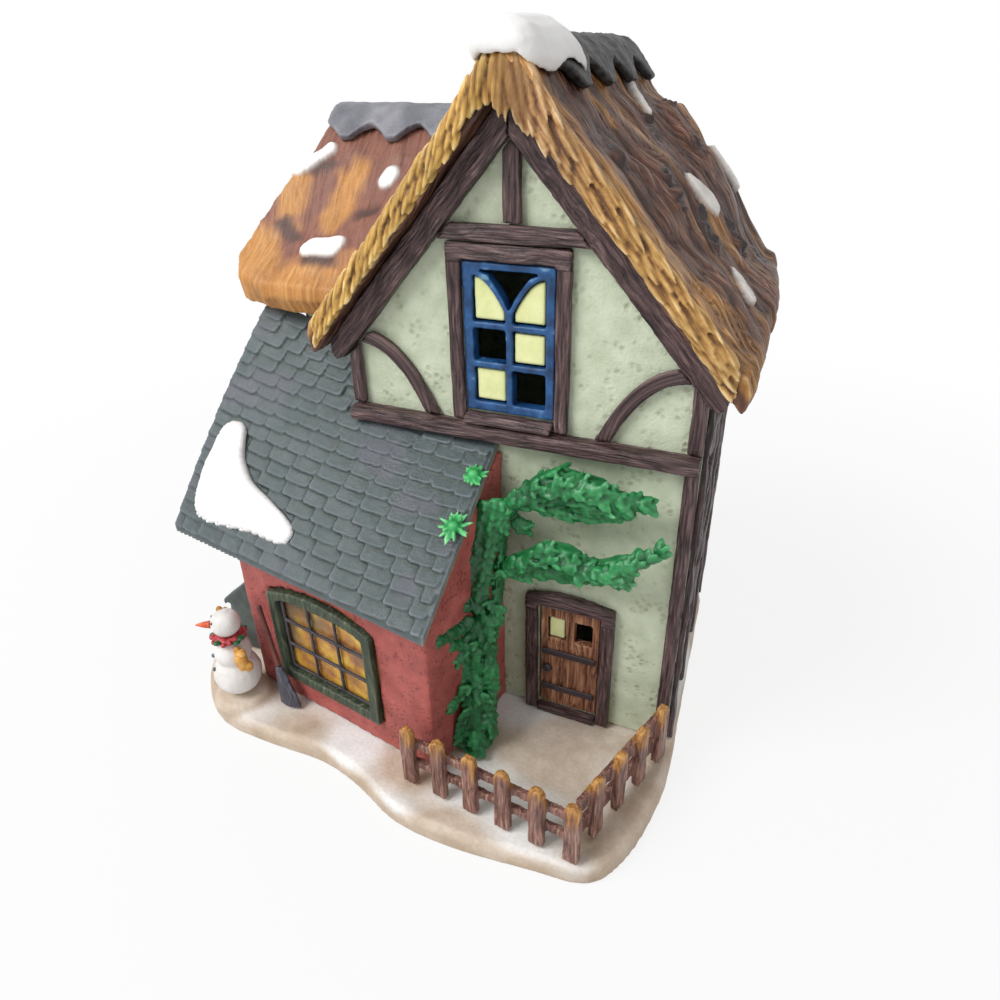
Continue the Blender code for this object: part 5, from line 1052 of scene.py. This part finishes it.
def slates():
    """Overlapping slates in courses over the twisted roof, their sizes and tilt a little uneven,
    cast in one with the roof under them."""
    shape = template("slate", slate_shape())
    rng = np.random.default_rng(11)
    rows = SLATE_COURSES
    spots = []
    for row in range(rows):
        across, first = SLATE_MARGIN, True
        while across < SLATE_LAST:
            width = rng.uniform(6.2, 9.0) * (0.35 + 0.35 * (row % 2) if first else 1.0)
            first = False
            if across + width > SLATE_LAST - 2.6:
                width = SLATE_LAST + 0.2 - across
            t = (across + width / 2) / SLATE_RUN
            low, high = slate_spot(t, row / rows), slate_spot(t, (row + 1) / rows)
            across += width
            if low[0] > -42 and low[1] > -3.0:
                continue
            side = slate_spot(min(1, t + 0.02), 0.5) - slate_spot(max(0, t - 0.02), 0.5)
            near = slate_spot(t + 0.01, row / rows) - slate_spot(t - 0.01, row / rows)
            spread = np.linalg.norm(near) / (0.02 * SLATE_RUN)
            down = low - high
            length = np.linalg.norm(down)
            down /= length
            facing = np.cross(side, down)
            facing *= math.copysign(1, facing[2]) / np.linalg.norm(facing)
            worn = 1 - 0.3 * float(ramp(t, 0.5, 0.9))
            lift = 0.15 * worn
            tipped = facing - down * lift
            aim = down + facing * lift + rng.normal(0, 0.006, 3)
            spots.append((high + facing * 0.02 - down * 0.5, aim, tipped,
                          (width * spread * 0.945, length + 0.55 + rng.normal(0, 0.06),
                           rng.uniform(0.30, 0.42) * worn)))
    laid = gathered(spots, shape, SLATE_PAINT, 0.02, 0.02)
    bpy.data.objects.remove(shape)

    def relief(co, normal):
        x, y, z = co.T
        tone = ramp(noise(co, 7, 81), 0.1, 0.7)
        outer = ramp(z - slate_height(x, y), -0.6, 0.1)
        share = (y - SLATE_EAVE_RIGHT[1]) / (SLATE_TOP_Y - SLATE_EAVE_RIGHT[1])
        right = SLATE_EAVE_RIGHT[0] + (SLATE_TOP_RIGHT - SLATE_EAVE_RIGHT[0]) * share
        return 0.04 * noise(co, 1.2, 82), {
            "relief": 0.5 + 0.06 * noise(co, 2.5, 83), "lilac": 0.55 * tone * outer,
            "edge": 0.7 * ramp(x - right, -0.8, -0.2) * (1 - ramp(z - slate_height(x, y), -0.7, -0.2))}
    # Painted shadow: the strong hollow shade paints a dark line under each slate's lower edge
    cast("slates", ["slate_roof"], 0.3, SLATE_PAINT, relief, 1, slot="slate", extra=[laid], painted_hollow_shade=1.9)


# Evergreen, fence, snowman

def leaf_shape():
    """A blunt lobed leaf, a little hollow along its midrib, one long, wide and deep."""
    outline = [(0.0, 0.0), (0.30, 0.12), (0.46, 0.34), (0.36, 0.46), (0.50, 0.66), (0.30, 0.86), (0.0, 1.0),
               (-0.30, 0.86), (-0.50, 0.66), (-0.36, 0.46), (-0.46, 0.34), (-0.30, 0.12)]
    count = len(outline)
    verts = [(x, y, -0.5) for x, y in outline] + [(x, y, 0.25) for x, y in outline]
    verts += [(x * 0.55, 0.5 + (y - 0.5) * 0.72, 0.6 if x else 0.1) for x, y in outline]
    return verts, ring_faces(count, 3) + [tuple(range(count)), tuple(range(2 * count, 3 * count))]


# Sprays of the evergreen in front of the wall, as (x, y, z) down each stem, and its leaves' length
UPPER_SPRAYS = ((((-0.4, -7.0, 68.3), (4.7, -7.6, 74.2), (8.5, -7.8, 79.0), (13.0, -7.0, 82.0)), 3.2),
                (((2.7, -7.6, 70.6), (11.4, -8.4, 73.6), (18.7, -8.2, 76.0), (25.8, -7.2, 77.0),
                  (31.6, -6.2, 77.2)), 3.4),
                (((7.0, -8.2, 71.0), (11.4, -8.2, 71.8), (15.2, -7.4, 71.0), (20.8, -6.6, 71.6),
                  (27.0, -5.6, 72.4)), 2.8),
                (((-1.6, -7.4, 69.0), (0.6, -7.0, 67.0), (2.8, -6.8, 65.5), (5.2, -6.2, 64.6)), 3.0),
                (((9.0, -8.0, 75.0), (14.0, -7.8, 78.6), (18.5, -6.6, 80.0)), 2.8),
                (((20.6, -7.6, 76.6), (24.6, -6.8, 79.2)), 2.8),
                (((10.0, -8.0, 76.5), (16.0, -8.0, 78.0), (22.0, -7.6, 78.4)), 2.8),
                (((14.0, -8.2, 74.5), (20.0, -8.0, 73.6), (27.0, -7.0, 74.6)), 2.8),
                (((4.0, -7.8, 75.0), (8.0, -8.0, 76.6)), 2.8))
LOWER_SPRAYS = ((((-1.7, -8.4, 53.7), (3.4, -8.8, 56.4), (8.0, -8.6, 59.6), (12.2, -7.6, 62.8)), 3.0),
                (((-0.6, -8.6, 53.0), (9.7, -9.0, 55.4), (17.6, -8.4, 57.8), (25.3, -7.4, 57.6),
                  (28.6, -6.4, 56.4)), 3.2),
                (((12.0, -8.6, 57.6), (18.5, -7.8, 60.4), (25.2, -7.2, 59.6), (30.0, -6.8, 61.6),
                  (34.6, -6.0, 65.6)), 3.0),
                (((27.6, -6.8, 61.0), (31.4, -6.2, 65.4)), 2.2),
                (((1.0, -8.2, 52.6), (6.4, -7.4, 51.8)), 2.2),
                (((21.0, -7.4, 57.4), (26.5, -5.8, 54.6)), 2.2),
                (((6.0, -8.6, 57.0), (12.0, -8.8, 59.5), (20.0, -8.2, 59.2)), 2.8),
                (((12.0, -8.6, 54.8), (19.0, -8.0, 55.6)), 2.6))
TRUNK_SPRAYS = ((((-1.3, -8.8, 73.0), (-1.9, -10.2, 66.8), (-3.0, -11.8, 58.6), (-4.1, -13.4, 50.0),
                  (-4.8, -15.2, 41.2), (-4.9, -17.4, 32.2), (-4.0, -19.4, 23.2), (-2.4, -21.2, 14.1),
                  (-2.1, -22.4, 7.6)), 3.4),
                (((-4.8, -14.8, 42.3), (-8.5, -15.8, 37.9), (-12.0, -16.8, 34.8), (-14.6, -17.4, 32.0)), 3.0),
                (((-5.1, -18.2, 27.0), (-7.8, -19.4, 21.6), (-10.6, -20.6, 16.8)), 3.0),
                (((-4.3, -20.2, 17.1), (-6.6, -21.6, 11.1), (-7.8, -22.4, 8.0)), 2.8),
                (((-2.3, -18.8, 23.7), (0.6, -19.6, 18.0), (2.2, -20.2, 11.0)), 2.8),
                (((-3.1, -14.6, 43.9), (-0.8, -15.6, 36.1), (0.4, -17.4, 28.6)), 2.8),
                (((-4.2, -12.0, 61.3), (-6.3, -12.8, 56.7), (-7.6, -13.8, 52.2)), 2.6),
                (((-2.0, -9.4, 68.0), (-4.4, -10.8, 64.6), (-5.4, -11.8, 60.0)), 2.4),
                (((-6.0, -16.2, 36.0), (-7.4, -18.0, 29.0), (-6.8, -19.6, 23.0)), 2.8),
                (((0.6, -9.6, 62.0), (0.4, -11.4, 54.0), (0.2, -13.0, 46.0), (0.4, -14.8, 38.0)), 2.8),
                (((-0.8, -17.0, 32.0), (0.8, -18.6, 24.0), (0.6, -20.6, 14.0)), 2.8),
                (((-5.6, -13.2, 50.0), (-7.6, -14.6, 44.0), (-9.4, -15.6, 39.0)), 2.8),
                (((-3.2, -9.6, 72.0), (-4.4, -10.6, 66.0), (-5.6, -11.8, 60.0), (-6.2, -13.0, 54.0)), 2.8),
                (((0.0, -8.6, 72.4), (0.2, -9.6, 67.0), (0.4, -10.4, 61.0)), 2.8))
# Sprays that spread from the trunk over the shop's side wall
WALL_SPRAYS = ((((-4.5, -15.0, 42.7), (-6.0, -18.7, 42.1), (-7.0, -23.0, 43.0), (-7.6, -26.4, 43.9)), 3.0),
               (((-4.6, -15.5, 38.0), (-6.0, -18.5, 37.5), (-6.9, -22.5, 39.5)), 2.8),
               (((-3.2, -16.9, 38.0), (-6.0, -18.5, 34.6), (-6.6, -21.0, 33.4)), 2.8),
               (((-4.2, -19.3, 25.9), (-6.5, -21.0, 22.5), (-7.2, -24.6, 21.5)), 2.8),
               (((-4.1, -21.1, 20.4), (-5.8, -22.2, 15.2), (-6.2, -23.0, 10.3)), 2.8),
               (((-1.4, -13.4, 47.7), (-4.6, -12.9, 44.6), (-5.6, -16.0, 46.8)), 2.6))


def laid_on(name, point, aim, out):
    """A leaf's place and aim moved onto the surface of a solid in front of it, where there is one."""
    hit, spot, normal, _ = NODES[name].ray_cast(Vector(point + out * 10) * MM, Vector(-out))
    spot, normal = np.array(spot) / MM, np.array(normal)
    if not hit or np.linalg.norm(spot - point) > 5 or normal @ out < 0.3:
        return point, aim, out
    return spot - normal * 0.25, aim - normal * (aim @ normal), normal


def spray_spots(name, stems, out, rng):
    """Leaves in pairs down each stem, pointing ahead and aside, the later ones laid over."""
    spots = []
    for points, length in stems:
        points = [np.array(p) for p in points]
        for a, b in zip(points, points[1:]):
            run = np.linalg.norm(b - a)
            ahead = (b - a) / run
            aside = np.cross(ahead, out)
            aside /= np.linalg.norm(aside)
            pairs = max(2, round(run / 0.9))
            for k in range(pairs):
                here = a + (b - a) * (k + rng.uniform(0.3, 0.7)) / pairs
                for turn in (-1, 1, 0) if k % 3 == 0 else (-1, 1):
                    aim = ahead * 0.8 + aside * turn * rng.uniform(0.75, 1.15)
                    aim = aim + np.array(out) * rng.uniform(-0.1, 0.15)
                    root, aim, facing = laid_on(name, here, aim, out)
                    facing = facing + aside * turn * 0.35
                    size = length * rng.uniform(0.8, 1.08)
                    spots.append((root + out * rng.uniform(0, 0.4), aim + 0.12 * facing, facing,
                                  (size * 0.5, size, 0.8)))
    return spots


def leaf_relief(co, normal):
    """Glossy green, with painted shade where the tree is under the eave of the slates."""
    x, y, z = co.T
    shade = ramp(-x, 1.0, 6.0) * ramp(z, 34, 46) * 0.6
    return 0.05 * noise(co, 1.5, 107), {
        "relief": 0.46 + 0.12 * noise(co, 4, 108) + 0.12 * ramp(x, 0, 30), "shade": shade}


def evergreen():
    """The climbing evergreen, its leaves in sprays melted into the trunk and the branches."""
    shape = template("leaf", leaf_shape())
    rng = np.random.default_rng(5)
    for name, stems, out in (("tree_trunk", TRUNK_SPRAYS, (0.25, -0.85, 0.45)),
                             ("branch_upper", UPPER_SPRAYS, (0.05, -0.95, 0.3)),
                             ("branch_lower", LOWER_SPRAYS, (0.05, -0.95, 0.3))):
        out = np.array(out) / np.linalg.norm(out)
        spots = spray_spots(name, stems, out, rng)
        if name == "tree_trunk":
            spots += spray_spots(name, WALL_SPRAYS, np.array((0.89, -0.37, 0.26)), rng)
        leaves = gathered(spots, shape, LEAF_PAINT, 0.1, 0.12, -0.12)
        cast(name + "_leaves", [name], 0.28, LEAF_PAINT, leaf_relief, 1, slot="evergreen", extra=[leaves],
             painted_hollow_shade=1.3, sink=1.3 if name == "tree_trunk" else 0.9)
    bpy.data.objects.remove(shape)


def sprigs():
    """Bright stars of needles lying on the slates."""
    shape = template("needle", spindle(6, 5, 0.9, 0.8))
    rng = np.random.default_rng(13)
    out = np.array((0.05, -0.5, 0.86))
    for name, reach in (("roof_sprig_upper", 2.6), ("roof_sprig_lower", 3.6)):
        low, high = (np.array(v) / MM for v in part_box(name))
        centre = (low + high) / 2 - out * 0.4
        spots = []
        for layer, count, lift in ((0, 11, 0.05), (1, 8, 0.5), (2, 5, 1.1)):
            for k in range(count):
                turn = 2 * math.pi * (k + 0.5 * layer) / count + rng.normal(0, 0.12)
                flat = np.array((math.cos(turn), math.sin(turn) * 0.87, math.sin(turn) * 0.5))
                aim = flat + out * (lift + rng.normal(0, 0.06))
                length = reach * rng.uniform(0.8, 1.15) * (1 - 0.15 * layer)
                spots.append((centre + flat * 0.5 + out * 0.3 * layer, aim, out, (0.95, length, 0.75)))
        needles = gathered(spots, shape, SPRIG_PAINT, 0.1)

        def relief(co, normal):
            away = np.linalg.norm(co - centre, axis=1)
            return np.zeros(len(co)), {"relief": np.clip(0.15 + 0.17 * away, 0, 1)}
        cast(name + "_needles", [name], 0.24, SPRIG_PAINT, relief, 1, slot="bright_green", extra=[needles],
             painted_hollow_shade=1.2, sink=0.8)
    bpy.data.objects.remove(shape)


def fence_relief(start, end, spans):
    """Grained pickets with worn gold tops streaking down, between plain rails."""
    start, end = np.array(start), np.array(end)
    step = np.linalg.norm(end - start) / spans
    ahead = (end - start) / np.linalg.norm(end - start)

    def relief(co, normal):
        height, masks = timber((0, 0, 1), 110, 0.75, 8.0, 0.28)(co, normal)
        along = (co[:, :2] - start) @ ahead
        off = np.abs(along - np.round(along / step) * step)
        streak = noise(co, (0.9, 0.9, 7.0), 111)
        masks["gold"] = 0.9 * ramp(co[:, 2] + streak * 3.5, 17.5, 22.5) * (1 - ramp(off, 1.7, 2.3))
        return height, masks
    return relief


def fences():
    """The picket fence's two runs."""
    for side, start, end, spans in (("front", FENCE_LEFT, FENCE_CORNER, 5),
                                    ("side", FENCE_CORNER, FENCE_BACK, 4)):
        cast("fence_%s_carved" % side, ["fence_" + side], 0.4, FENCE_PAINT,
             fence_relief(start, end, spans), 3, slot="fence_brown", painted_hollow_shade=0.4)


def ground_relief(co, normal):
    """Uneven snow on the base, sandy on its slopes, its underside left flat."""
    swell = noise(co, 9, 120) + 0.5 * noise(co, 3.5, 121)
    flat = ramp(co[:, 2], 0.3, 2.0)
    white = ramp(noise(co, 16, 122) + 0.4 * normal[:, 2] - 0.2, 0.1, 0.6)
    return (0.3 * swell - 0.3) * flat, {"white": white, "soil": 0.25 * ramp(-normal[:, 2], -0.5, 0.3)}


def ground():
    """The snow-covered base."""
    cast("snow_ground", ["base"], 0.8, GROUND_PAINT, ground_relief, 2, slot="snow_base")


def ellipsoids(rows, sides=12):
    """Closed stretched balls, from rows of centre and radii in millimetres."""
    verts, faces = [], []
    rings = sides // 2 - 1
    for centre, radii in rows:
        first = len(verts)
        for k in range(1, rings + 1):
            tilt = math.pi * k / (rings + 1)
            for i in range(sides):
                turn = 2 * math.pi * i / sides
                unit = (math.sin(tilt) * math.cos(turn), math.sin(tilt) * math.sin(turn), math.cos(tilt))
                verts.append([c + r * u for c, r, u in zip(centre, radii, unit)])
        faces += ring_faces(sides, rings, first)
        for pole, ring in ((1, 0), (-1, rings - 1)):
            verts.append([centre[0], centre[1], centre[2] + pole * radii[2]])
            base = first + ring * sides
            faces += [(len(verts) - 1, base + i, base + (i + 1) % sides) for i in range(sides)]
    return mesh_of(verts, faces)


def daub(name, rows, look, slot, voxel=0.2):
    """Small pressed-on lumps of clay as one piece."""
    mesh = skin(ellipsoids(rows), voxel, 1)
    co, normal = points_of(mesh)
    height, masks = lumpy(1.0, 0.05, 140)(co, normal)
    put_points(mesh, co + normal * height[:, None])
    set_masks(mesh, masks)
    place(name, mesh, look, slot=slot)


def snowman():
    """The snowman, with pressed-on eyes, buttons, earflap, holly and arm, and its broom."""
    def spot_on(node, way, height):
        """The point of a solid's surface that faces a way at some height, seen from the middle."""
        way = Vector((*way, 0)).normalized()
        low, high = (Vector(v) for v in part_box(node))
        middle = Vector(((low.x + high.x) / 2, (low.y + high.y) / 2, height * MM))
        _, spot, *_ = NODES[node].ray_cast(middle + way * 0.03, -way)
        return tuple(c / MM for c in spot)
    daub("snowman_eyes", [(spot_on("snowman_head", way, 32.0), (0.42, 0.42, 0.5))
                          for way in ((-1.0, -0.25), (-0.45, -1.0))], COAL_PAINT, "ridge_grey")
    daub("snowman_buttons", [(spot_on("snowman_body", (-0.6, -0.8), height), (0.62, 0.62, 0.62))
                             for height in (21.5, 17.0)], COAL_PAINT, "ridge_grey")
    daub("snowman_earflap", [(spot_on("snowman_head", (-1.0, 0.5), 33.0), (0.9, 0.9, 1.2)),
                             (spot_on("snowman_head", (-0.7, 0.9), 32.0), (0.8, 0.8, 0.9))], TAN_PAINT, "tan")
    beads, leaves = [], []
    for k in range(16):
        turn = 2 * math.pi * k / 16
        spot = (-70.5 + 4.1 * math.cos(turn), -27.6 + 4.1 * math.sin(turn), 26.6 + 0.25 * (-1) ** k)
        (beads if k % 3 else leaves).append((spot, (0.75, 0.75, 0.7) if k % 3 else (1.1, 1.1, 0.5)))
    daub("snowman_beads", beads, HOLLY_PAINT, "holly")
    daub("snowman_leaves", leaves, LEAF_PAINT, "evergreen")
    daub("snowman_arm", (((-65.0, -30.4, 22.2), (1.7, 1.6, 2.4)), ((-64.0, -30.8, 24.6), (1.2, 1.1, 1.5)),
                         ((-63.4, -30.2, 20.2), (1.3, 1.3, 1.6)), ((-66.2, -30.0, 24.4), (1.0, 1.0, 1.2))),
         TAN_PAINT, "tan", 0.25)
    cast("snowman_balls", ["snowman_body"], 0.35, SNOWMAN_PAINT, lumpy(3.0, 0.12, 130), 4,
         slot="snow_white")
    cast("snowman_face", ["snowman_head"], 0.3, SNOWMAN_PAINT, lumpy(3.0, 0.1, 131), 4, slot="snow_white")
    cast("snowman_carrot", ["snowman_nose"], 0.2, CARROT_PAINT, lumpy(1.0, 0.06, 132), 2, slot="carrot")
    cast("snowman_holly", ["snowman_collar"], 0.22, HOLLY_PAINT, lumpy(1.0, 0.15, 133), 2, slot="holly")
    cast("snowman_glove", ["snowman_mitten"], 0.25, TAN_PAINT, lumpy(1.2, 0.12, 134), 3, slot="tan")
    cast("broom_stick", ["broom_handle"], 0.2, HANDLE_PAINT, lumpy(1.5, 0.05, 135), 2, slot="fence_brown")
    cast("broom_bristles", ["broom_head"], 0.25, BROOM_PAINT,
         timber((-0.1, 0.02, 1), 136, 0.5, 5.0, 0.3), 2, slot="broom_grey")


def lamp():
    """The bulb lamp behind the house keeps its solids."""
    painted(lamp_holder=PLASTIC, holder_clip_upper=STEEL, holder_clip_lower=STEEL, holder_sleeve=BRASS,
            holder_contact=BRASS, bulb_cap=BRASS, bulb_glass=glass("bulb glass"))


# Stage

def seen_straight(tree):
    """1 for what the camera sees, also in a gloss or through glass, and 0 for the light on the house."""
    rays = node_in(tree, "ShaderNodeLightPath").outputs
    near = maths(tree, "MAXIMUM", rays["Is Camera Ray"], rays["Is Glossy Ray"])
    return maths(tree, "MAXIMUM", near, rays["Is Transmission Ray"])


# The table isn't lit where the house stands on it, in metres, so that the hollow house stays dark
UNLIT_MIDDLE = (-0.0035, 0.027, 0)
UNLIT_REACH = 0.0425


def stage():
    """White table and backdrop, light from the upper left, and the camera."""
    scene = bpy.context.scene
    floor = mesh_of([(-1500, -1500, 0), (1500, -1500, 0), (1500, 1500, 0), (-1500, 1500, 0)],
                    [(0, 1, 2, 3)])
    table = bpy.data.objects.new("table", floor)
    scene.collection.objects.link(table)
    look = bpy.data.materials.new("table white")
    look.use_nodes = True
    tree = look.node_tree
    tree.nodes.clear()
    out = node_in(tree, "ShaderNodeOutputMaterial")
    matt = node_in(tree, "ShaderNodeBsdfDiffuse", Color=(0.8, 0.8, 0.8, 1))
    lit = node_in(tree, "ShaderNodeEmission")
    blend = node_in(tree, "ShaderNodeMixShader")
    spot = node_in(tree, "ShaderNodeTexCoord")
    away = node_in(tree, "ShaderNodeVectorMath", operation="LENGTH")
    fade = node_in(tree, "ShaderNodeMapRange", From_Min=0.10, From_Max=0.34, To_Min=0.84, To_Max=1.0)
    house = node_in(tree, "ShaderNodeVectorMath", operation="DISTANCE")
    house.inputs[1].default_value = UNLIT_MIDDLE
    for node in (away, house):
        tree.links.new(spot.outputs["Object"], node.inputs[0])
    tree.links.new(away.outputs["Value"], fade.inputs["Value"])
    outside = maths(tree, "GREATER_THAN", house.outputs["Value"], UNLIT_REACH)
    share = maths(tree, "MULTIPLY", seen_straight(tree),
                  maths(tree, "MULTIPLY", fade.outputs["Result"], outside))
    tree.links.new(share, blend.inputs["Fac"])
    tree.links.new(matt.outputs[0], blend.inputs[1])
    tree.links.new(lit.outputs[0], blend.inputs[2])
    tree.links.new(blend.outputs[0], out.inputs["Surface"])
    floor.materials.append(look)

    world = bpy.data.worlds.new("backdrop")
    world.use_nodes = True
    tree = world.node_tree
    back = tree.nodes["Background"]
    span = node_in(tree, "ShaderNodeMapRange", To_Min=0.46, To_Max=1.0)
    tree.links.new(seen_straight(tree), span.inputs["Value"])
    tree.links.new(span.outputs["Result"], back.inputs["Strength"])
    back.inputs["Color"].default_value = (1, 1, 1, 1)
    scene.world = world

    for name, spot, size, power in (("key", (-0.36, -0.42, 0.62), 0.40, 4.9),
                                    ("fill", (0.55, -0.35, 0.35), 0.5, 0.6)):
        light = bpy.data.lights.new(name, "AREA")
        light.size = size
        light.energy = power
        lamp_object = bpy.data.objects.new(name, light)
        lamp_object.location = spot
        lamp_object.rotation_euler = (Vector((0, 0, 0.06)) - Vector(spot)).to_track_quat("-Z", "Y").to_euler()
        scene.collection.objects.link(lamp_object)

    lens = bpy.data.cameras.new("camera")
    lens.lens = 27.05
    lens.sensor_width = 36.0
    lens.clip_start = 0.01
    camera = bpy.data.objects.new("camera", lens)
    right = Vector((0.91804, 0.39602, -0.01928))
    up = Vector((-0.18613, 0.47339, 0.86096))
    back_way = Vector((0.35008, -0.78681, 0.50830))
    eye = Vector((0.05681, -0.13739, 0.15521))
    camera.matrix_world = Matrix([*zip(right, up, back_way, eye), (0, 0, 0, 1)])
    scene.collection.objects.link(camera)
    scene.camera = camera
    scene.view_settings.view_transform = "Standard"


painted(house_shell=STUCCO, wing_shell=STUCCO)
timbers()
wall_timbers()
openings()
shop_walls()
thatches()
caps_and_snow()
verge_straw()
slates()
evergreen()
sprigs()
fences()
ground()
snowman()
lamp()
stage()
